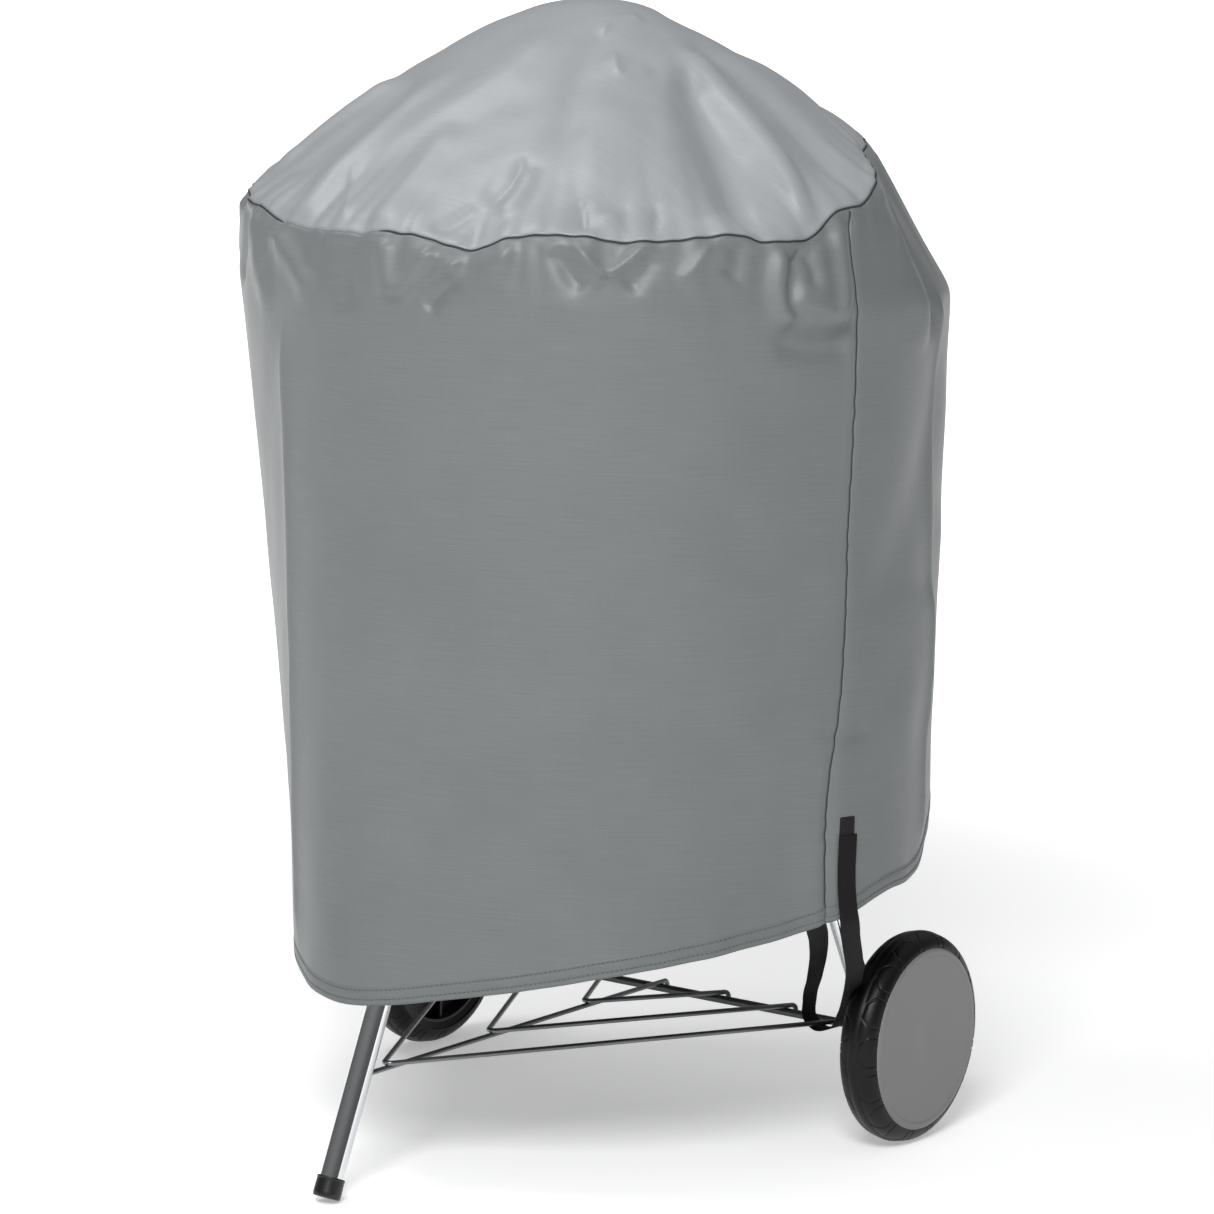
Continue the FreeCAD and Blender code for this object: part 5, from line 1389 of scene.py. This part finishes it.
@dataclass
class Wheel:
    """One wheel's moulded tyre with its cut tread, and the grey disc that covers its hub."""

    side: Side
    finishes: Finishes
    radius: float = 101.6 * MM
    bore: float = 79 * MM
    shoulder: float = 15 * MM
    cap_radius: float = 87.4 * MM
    blocks: int = 16
    groove_width: float = 0.75 * MM
    groove_depth: float = 0.75 * MM
    outline_step: float = 0.75 * MM
    face_inset: float = 1.2 * MM
    cap_proud: float = 1.5 * MM
    turns: int = 1008

    def build(self) -> None:
        """Makes the tyre and the cap, and lets them ride on the wheel."""
        word = self.side.word
        low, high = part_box(f"{word}_tyre")
        centre = (low + high) / 2
        width = high.x - low.x
        cap_low, cap_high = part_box(f"{word}_hub_cap")
        outer_face = max(abs(cap_low.x), abs(cap_high.x))
        tyre = self.tyre(centre, width)
        cap = self.cap(centre, outer_face)
        for piece, node, slot in ((tyre, "tyre", "tyre_rubber"), (cap, "hub_cap", "grey_cap")):
            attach(piece, Body.RIGHT_WHEEL.value if self.side is Side.RIGHT
                    else Body.LEFT_WHEEL.value)
            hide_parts(f"{word}_{node}")
            LOG.info("wheel piece %s: %d faces", piece.name, len(piece.data.polygons))

    def profile(self, width: float) -> np.ndarray:
        """The tyre's outline as axial place and radius, from the outer bore over the tread."""
        half = width / 2
        crown = self.radius
        face = half - self.face_inset
        corners = [(face - 3 * MM, self.bore), (face - 0.5 * MM, self.bore + 8 * MM),
                   (face, crown - self.shoulder)]
        arc = []
        for angle in np.linspace(0, math.pi / 2, 22):
            arc.append((face - self.shoulder + self.shoulder * math.cos(angle),
                        crown - 1.2 * MM - self.shoulder + self.shoulder * math.sin(angle)))
        flat = [(face - self.shoulder - (face - self.shoulder) * s,
                 crown - 1.2 * MM * (1 - s) ** 2) for s in np.linspace(0.08, 1, 9)]
        outer = corners + arc + flat
        return np.array(outer + [(-a, r) for a, r in reversed(outer[:-1])])

    def grooves(self, width: float) -> list[tuple[float, float, float, float]]:
        """Straight runs of the groove pattern in one block, as arc and axial places."""
        pitch = math.tau * self.radius / self.blocks
        half = width / 2
        runs = []
        for sign, shift in ((1, 0.0), (-1, 0.5)):
            marks = [(0.0, 0.72), (0.2, 0.34), (0.56, 0.26), (0.76, 0.72)]
            for (a0, b0), (a1, b1) in zip(marks[:-1], marks[1:]):
                runs.append(((a0 + shift) * pitch, sign * b0 * half,
                             (a1 + shift) * pitch, sign * b1 * half))
            for start, reach in ((0.0, 1.32), (0.76, 1.18)):
                runs.append(((start + shift) * pitch, sign * 0.72 * half,
                             (start + shift) * pitch, sign * reach * half))
            runs.append(((0.76 + shift) * pitch, sign * 1.18 * half,
                         (0.9 + shift) * pitch, sign * 1.24 * half))
        return runs

    def tyre(self, centre: Vector, width: float) -> bpy.types.Object:
        """The tyre, its tread cut with six-sided blocks that open at the shoulders."""
        outline = self.profile(width)
        dense = [outline[0]]
        for a, b in zip(outline[:-1], outline[1:]):
            count = max(1, int(math.hypot(*(b - a)) / self.outline_step))
            dense += [a + (b - a) * k / count for k in range(1, count + 1)]
        outline = np.array(dense)
        slopes = np.gradient(outline, axis=0)
        normals = np.stack([slopes[:, 1], -slopes[:, 0]], axis=1)
        normals /= np.linalg.norm(normals, axis=1, keepdims=True)
        normals *= np.sign(np.sum(normals * (outline - np.array([0, self.radius * 0.9])), axis=1,
                                  keepdims=True))
        steps = np.linalg.norm(np.diff(outline, axis=0), axis=1)
        run = np.concatenate([[0], np.cumsum(steps)])
        axial = run - run[len(run) // 2]
        pitch = math.tau * self.radius / self.blocks
        turns = np.linspace(0, math.tau, self.turns, endpoint=False)
        arc = (turns * self.radius) % pitch
        grid_arc, grid_axial = np.meshgrid(arc, axial, indexing="ij")
        nearest = np.full(grid_arc.shape, 1e9)
        for x0, y0, x1, y1 in self.grooves(width):
            for turn in (-pitch, 0.0, pitch):
                dx, dy = x1 - x0, y1 - y0
                length = dx * dx + dy * dy
                along = np.clip(((grid_arc - x0 - turn) * dx + (grid_axial - y0) * dy) / length,
                                0, 1)
                nearest = np.minimum(nearest, np.hypot(grid_arc - x0 - turn - along * dx,
                                                       grid_axial - y0 - along * dy))
        depth = self.groove_depth * np.exp(-(nearest / self.groove_width) ** 4)
        depth *= ease((outline[:, 1][None, :] - (self.radius - self.shoulder - 2 * MM))
                      / (6 * MM))
        section = outline[None] - normals[None] * depth[..., None]
        radius, across = section[..., 1], section[..., 0] * self.side.value
        loops = np.stack([across + centre.x, centre.y + radius * np.cos(turns)[:, None],
                          centre.z + radius * np.sin(turns)[:, None]], axis=-1)
        piece = loops_object(f"{self.side.word}_treaded_tyre", loops, capped=False, closed=True)
        piece.data.materials.append(self.finishes.rubber)
        return piece

    def cap(self, centre: Vector, outer_face: float) -> bpy.types.Object:
        """The plain hub cap: a slightly crowned disc inside a soft raised rim."""
        rim = self.cap_radius
        thick = 3.4 * MM
        face = [(0.05 * MM, -0.4 * MM), (rim * 0.35, -0.45 * MM), (rim * 0.7, -0.65 * MM),
                (rim - 8.4 * MM, -1.0 * MM), (rim - 7.4 * MM, -0.95 * MM),
                (rim - 6.2 * MM, -0.1 * MM), (rim - 4.5 * MM, 0.0), (rim - 2.4 * MM, -0.3 * MM),
                (rim - 0.8 * MM, -1.1 * MM), (rim, -2.2 * MM), (rim, -thick)]
        back = [(0.05 * MM, -thick)]
        place = (Matrix.Translation(Vector(((outer_face + self.cap_proud) * self.side.value,
                                            centre.y, centre.z)))
                 @ Vector((self.side.value, 0, 0)).to_track_quat("Z", "Y").to_matrix().to_4x4())
        piece = lathe(f"{self.side.word}_grey_disc", rounded(face + back, 0.5 * MM, 3), 192, place)
        piece.data.materials.append(self.finishes.cap)
        return piece


@dataclass
class FootCap:
    """The moulded cap on the front leg's foot."""

    finishes: Finishes
    tube_radius: float = 11.1 * MM
    radius: float = 13 * MM
    length: float = 19 * MM

    def build(self) -> None:
        """Makes the cap: a lip at its mouth, a slight taper and a worn round sole."""
        leg_low, leg_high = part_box("front_leg")
        low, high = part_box("front_leg_cap")
        foot = Vector((0, (low.y + high.y) / 2, (low.z + high.z) / 2))
        rise = Vector((0, leg_high.y - leg_low.y - 2 * self.tube_radius,
                       leg_high.z - leg_low.z)).normalized()
        half = self.length / 2
        outline = [(self.tube_radius + 0.1 * MM, half),
                   (self.tube_radius + 0.1 * MM, half - 3 * MM),
                   (self.tube_radius - 0.5 * MM, -half + 4 * MM), (0.05 * MM, -half + 4 * MM),
                   (0.05 * MM, -half), (self.radius - 0.6 * MM, -half),
                   (self.radius, -half + 4 * MM), (self.radius - 0.3 * MM, half - 2.5 * MM),
                   (self.radius + 0.2 * MM, half - 1.5 * MM), (self.radius - 0.2 * MM, half)]
        place = (Matrix.Translation(foot + rise * 1.0 * MM)
                 @ rise.to_track_quat("Z", "Y").to_matrix().to_4x4())
        piece = lathe("ribbed_foot_cap", rounded(outline, 1.2 * MM, 4), 64, place)
        for vertex in piece.data.vertices:
            vertex.co.z = max(vertex.co.z, low.z)
        piece.data.materials.append(self.finishes.nylon)
        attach(piece, Body.STAND.value)
        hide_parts("front_leg_cap")
        LOG.info("foot cap: %d faces", len(piece.data.polygons))


# ---------------------------------------------------------------- pieces kept from the frame


@dataclass
class KeptPieces:
    """The pieces whose shape stays as it is and that get their finish here."""

    nodes: dict[str, bpy.types.Object]
    finishes: Finishes

    def groups(self) -> dict[str, tuple[bpy.types.Material, tuple[str, ...]]]:
        """Each slot's finish and the nodes that wear it."""
        both = [side.word for side in Side]
        done = self.finishes
        return {
            "enamel": (done.enamel, ("bowl", "lid", "front_leg_socket", "right_leg_socket",
                                     "left_leg_socket")),
            "chrome_tube": (done.chrome, ("front_leg", "right_leg", "left_leg")),
            "black_plastic": (done.nylon, ("lid_handle_grip",
                                           *(f"{w}_handle_grip" for w in both))),
            "steel_wire": (done.wire, (
                "rack_spine", "rack_outer_vee", "rack_middle_vee", "rack_inner_vee",
                "ash_pan_hanger", "lid_hook", "grate_tabs", "sweeper_shaft", "sweeper_lever",
                "sweeper_bush", "lid_handle_bracket", *(f"{w}_handle_bracket" for w in both))),
            "plated_grate": (done.grate, ("cooking_grate", "charcoal_grate")),
            "aluminium": (done.aluminium, ("lid_damper", "damper_rivet", "ash_pan",
                                           "sweeper_blades")),
            "hub_plastic": (done.hub, ("right_hub", "left_hub")),
        }

    def dress(self) -> None:
        """Gives each kept node its finish."""
        for slot, (material, names) in self.groups().items():
            for name in names:
                self.give(name, material)
        for name in ("axle", "right_axle_clip", "left_axle_clip"):
            self.give(name, self.finishes.axle)

    def give(self, name: str, material: bpy.types.Material) -> None:
        """Puts one material on one node."""
        node = self.nodes[name]
        node.data.materials.clear()
        node.data.materials.append(material)
        LOG.info("kept piece %s wears %s", name, material.name)


# ---------------------------------------------------------------- studio


@dataclass(frozen=True)
class Softbox:
    """A rectangular lamp: where it hangs, what it points at, its size and its power."""

    name: str
    place: tuple[float, float, float]
    aim: tuple[float, float, float]
    size: tuple[float, float]
    watts: float


@dataclass
class Studio:
    """A white floor and surround, soft lamps and the camera."""

    axis_y: float
    camera_place: tuple[float, float, float] = (2.6017, -3.6174, 1.2252)
    look_turn: float = 35.45
    look_down: float = 9.23
    look_roll: float = 1.404
    lens: float = 140.8
    sensor: float = 36.0
    clip_end: float = 200.0
    floor_half: float = 60.0
    glow_near: float = 1.0
    glow_far: float = 3.2
    near_glow: float = 0.37
    far_glow: float = 1.05
    dark_side: float = 0.12
    bright_side: float = 0.16
    dark_from: float = 0.55
    bright_from: float = -0.5
    ceiling: float = 0.34
    ceiling_from: float = 0.15
    ceiling_full: float = 0.95
    softboxes: tuple[Softbox, ...] = (
        Softbox("key_softbox", (1.7, -3.1, 3.1), (0, 0.0, 0.6), (1.5, 1.3), 142),
        Softbox("overhead_softbox", (-1.2, -0.9, 3.3), (0, 0.0, 0.9), (1.3, 1.3), 32))

    def build(self) -> None:
        """Sets up the camera, the floor, the world and the lamps."""
        self.camera()
        self.floor()
        self.world()
        for box in self.softboxes:
            self.lamp(box)
        scene = bpy.context.scene
        scene.view_settings.view_transform = "Standard"

    def camera(self) -> None:
        """The camera, at a distance with a long lens, level with the cover's top."""
        turn, down, roll = (math.radians(a) for a in
                            (self.look_turn, self.look_down, self.look_roll))
        forward = Vector((-math.sin(turn) * math.cos(down), math.cos(turn) * math.cos(down),
                          -math.sin(down)))
        right = Vector((math.cos(turn), math.sin(turn), 0))
        up = right.cross(forward)
        turned_right = right * math.cos(roll) + up * math.sin(roll)
        turned_up = up * math.cos(roll) - right * math.sin(roll)
        data = bpy.data.cameras.new("camera")
        data.lens, data.sensor_width, data.clip_end = self.lens, self.sensor, self.clip_end
        camera = bpy.data.objects.new("camera", data)
        bpy.context.scene.collection.objects.link(camera)
        axes = Matrix((turned_right, turned_up, -forward)).transposed().to_4x4()
        x, y, z = self.camera_place
        camera.matrix_world = Matrix.Translation((x, y + self.axis_y, z)) @ axes
        bpy.context.scene.camera = camera

    def floor(self) -> None:
        """A wide white floor that keeps the object's soft shadow."""
        half = self.floor_half
        mesh = bpy.data.meshes.new("floor")
        mesh.from_pydata([(-half, -half, 0), (half, -half, 0), (half, half, 0), (-half, half, 0)],
                         [], [(0, 1, 2, 3)])
        floor = bpy.data.objects.new("floor", mesh)
        bpy.context.scene.collection.objects.link(floor)
        material = bpy.data.materials.new("white_floor")
        material.use_nodes = True
        tree = material.node_tree
        tree.nodes.clear()
        paint = add_node(tree, "ShaderNodeBsdfDiffuse", {"Color": linear("F4F4F4")})
        where = add_node(tree, "ShaderNodeNewGeometry")
        far = add_node(tree, "ShaderNodeVectorMath", {0: where.outputs["Position"]},
                       operation="LENGTH")
        level = add_node(tree, "ShaderNodeMapRange", {
            "Value": far.outputs["Value"], "From Min": self.glow_near, "From Max": self.glow_far,
            "To Min": self.near_glow, "To Max": self.far_glow},
            interpolation_type="SMOOTHSTEP")
        glow = add_node(tree, "ShaderNodeEmission", {"Color": linear("FFFFFF"),
                                                     "Strength": level.outputs[0]})
        both = add_node(tree, "ShaderNodeAddShader", {0: paint.outputs[0], 1: glow.outputs[0]})
        ray = add_node(tree, "ShaderNodeLightPath")
        seen = add_node(tree, "ShaderNodeMath", {0: ray.outputs["Is Camera Ray"],
                                                 1: ray.outputs["Is Glossy Ray"]},
                        operation="MAXIMUM")
        mixed = add_node(tree, "ShaderNodeMixShader", {0: seen.outputs[0], 1: paint.outputs[0],
                                                       2: both.outputs[0]})
        add_node(tree, "ShaderNodeOutputMaterial", {"Surface": mixed.outputs[0]})
        mesh.materials.append(material)

    def world(self) -> None:
        """White where it is seen; as light, dark on the camera's side and bright beyond."""
        world = bpy.data.worlds.new("studio")
        bpy.context.scene.world = world
        world.use_nodes = True
        tree = world.node_tree
        tree.nodes.clear()
        where = add_node(tree, "ShaderNodeTexCoord")
        x, y, _ = self.camera_place
        toward = add_node(tree, "ShaderNodeVectorMath", {
            0: where.outputs["Generated"], 1: Vector((x, y, 0)).normalized()},
            operation="DOT_PRODUCT")
        behind = add_node(tree, "ShaderNodeMapRange", {
            "Value": toward.outputs["Value"], "From Min": self.dark_from,
            "From Max": self.bright_from,
            "To Min": self.dark_side, "To Max": self.bright_side},
            interpolation_type="SMOOTHSTEP")
        height = add_node(tree, "ShaderNodeSeparateXYZ", {0: where.outputs["Generated"]})
        above = add_node(tree, "ShaderNodeMapRange", {
            "Value": height.outputs["Z"], "From Min": self.ceiling_from,
            "From Max": self.ceiling_full, "To Min": 0.0, "To Max": self.ceiling},
            interpolation_type="SMOOTHSTEP")
        level = add_node(tree, "ShaderNodeMath", {0: behind.outputs[0], 1: above.outputs[0]},
                         operation="ADD")
        light = add_node(tree, "ShaderNodeBackground", {"Color": linear("F6F7F8"),
                                                        "Strength": level.outputs[0]})
        white = add_node(tree, "ShaderNodeBackground", {"Color": linear("FFFFFF"),
                                                        "Strength": 1.0})
        ray = add_node(tree, "ShaderNodeLightPath")
        mixed = add_node(tree, "ShaderNodeMixShader", {
            0: ray.outputs["Is Camera Ray"], 1: light.outputs[0], 2: white.outputs[0]})
        add_node(tree, "ShaderNodeOutputWorld", {"Surface": mixed.outputs[0]})

    def lamp(self, box: Softbox) -> None:
        """Hangs a softbox.

        Args:
            box: The softbox.
        """
        data = bpy.data.lights.new(box.name, "AREA")
        data.shape, data.energy = "RECTANGLE", box.watts
        data.size, data.size_y = box.size
        lamp = bpy.data.objects.new(box.name, data)
        bpy.context.scene.collection.objects.link(lamp)
        lamp.location = box.place
        lamp.rotation_mode = "QUATERNION"
        aim = Vector(box.aim) - Vector(box.place)
        lamp.rotation_quaternion = aim.to_track_quat("-Z", "Y")


def main() -> None:
    """Loads the frame and builds the looks around it, one sub-assembly after another."""
    logging.basicConfig(level=logging.INFO, format="%(name)s: %(message)s")
    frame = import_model()
    bowl_low, bowl_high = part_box("bowl")
    axis_y = (bowl_low.y + bowl_high.y) / 2
    Studio(axis_y).build()
    finishes = Finishes.make()
    cover = FabricCover(CoverShape(axis_y), finishes)
    cover.build()
    for side in Side:
        Strap(side, cover, finishes).build()
        Wheel(side, finishes).build()
    FootCap(finishes).build()
    KeptPieces(frame["nodes"], finishes).dress()


if __name__ == "__main__":
    main()
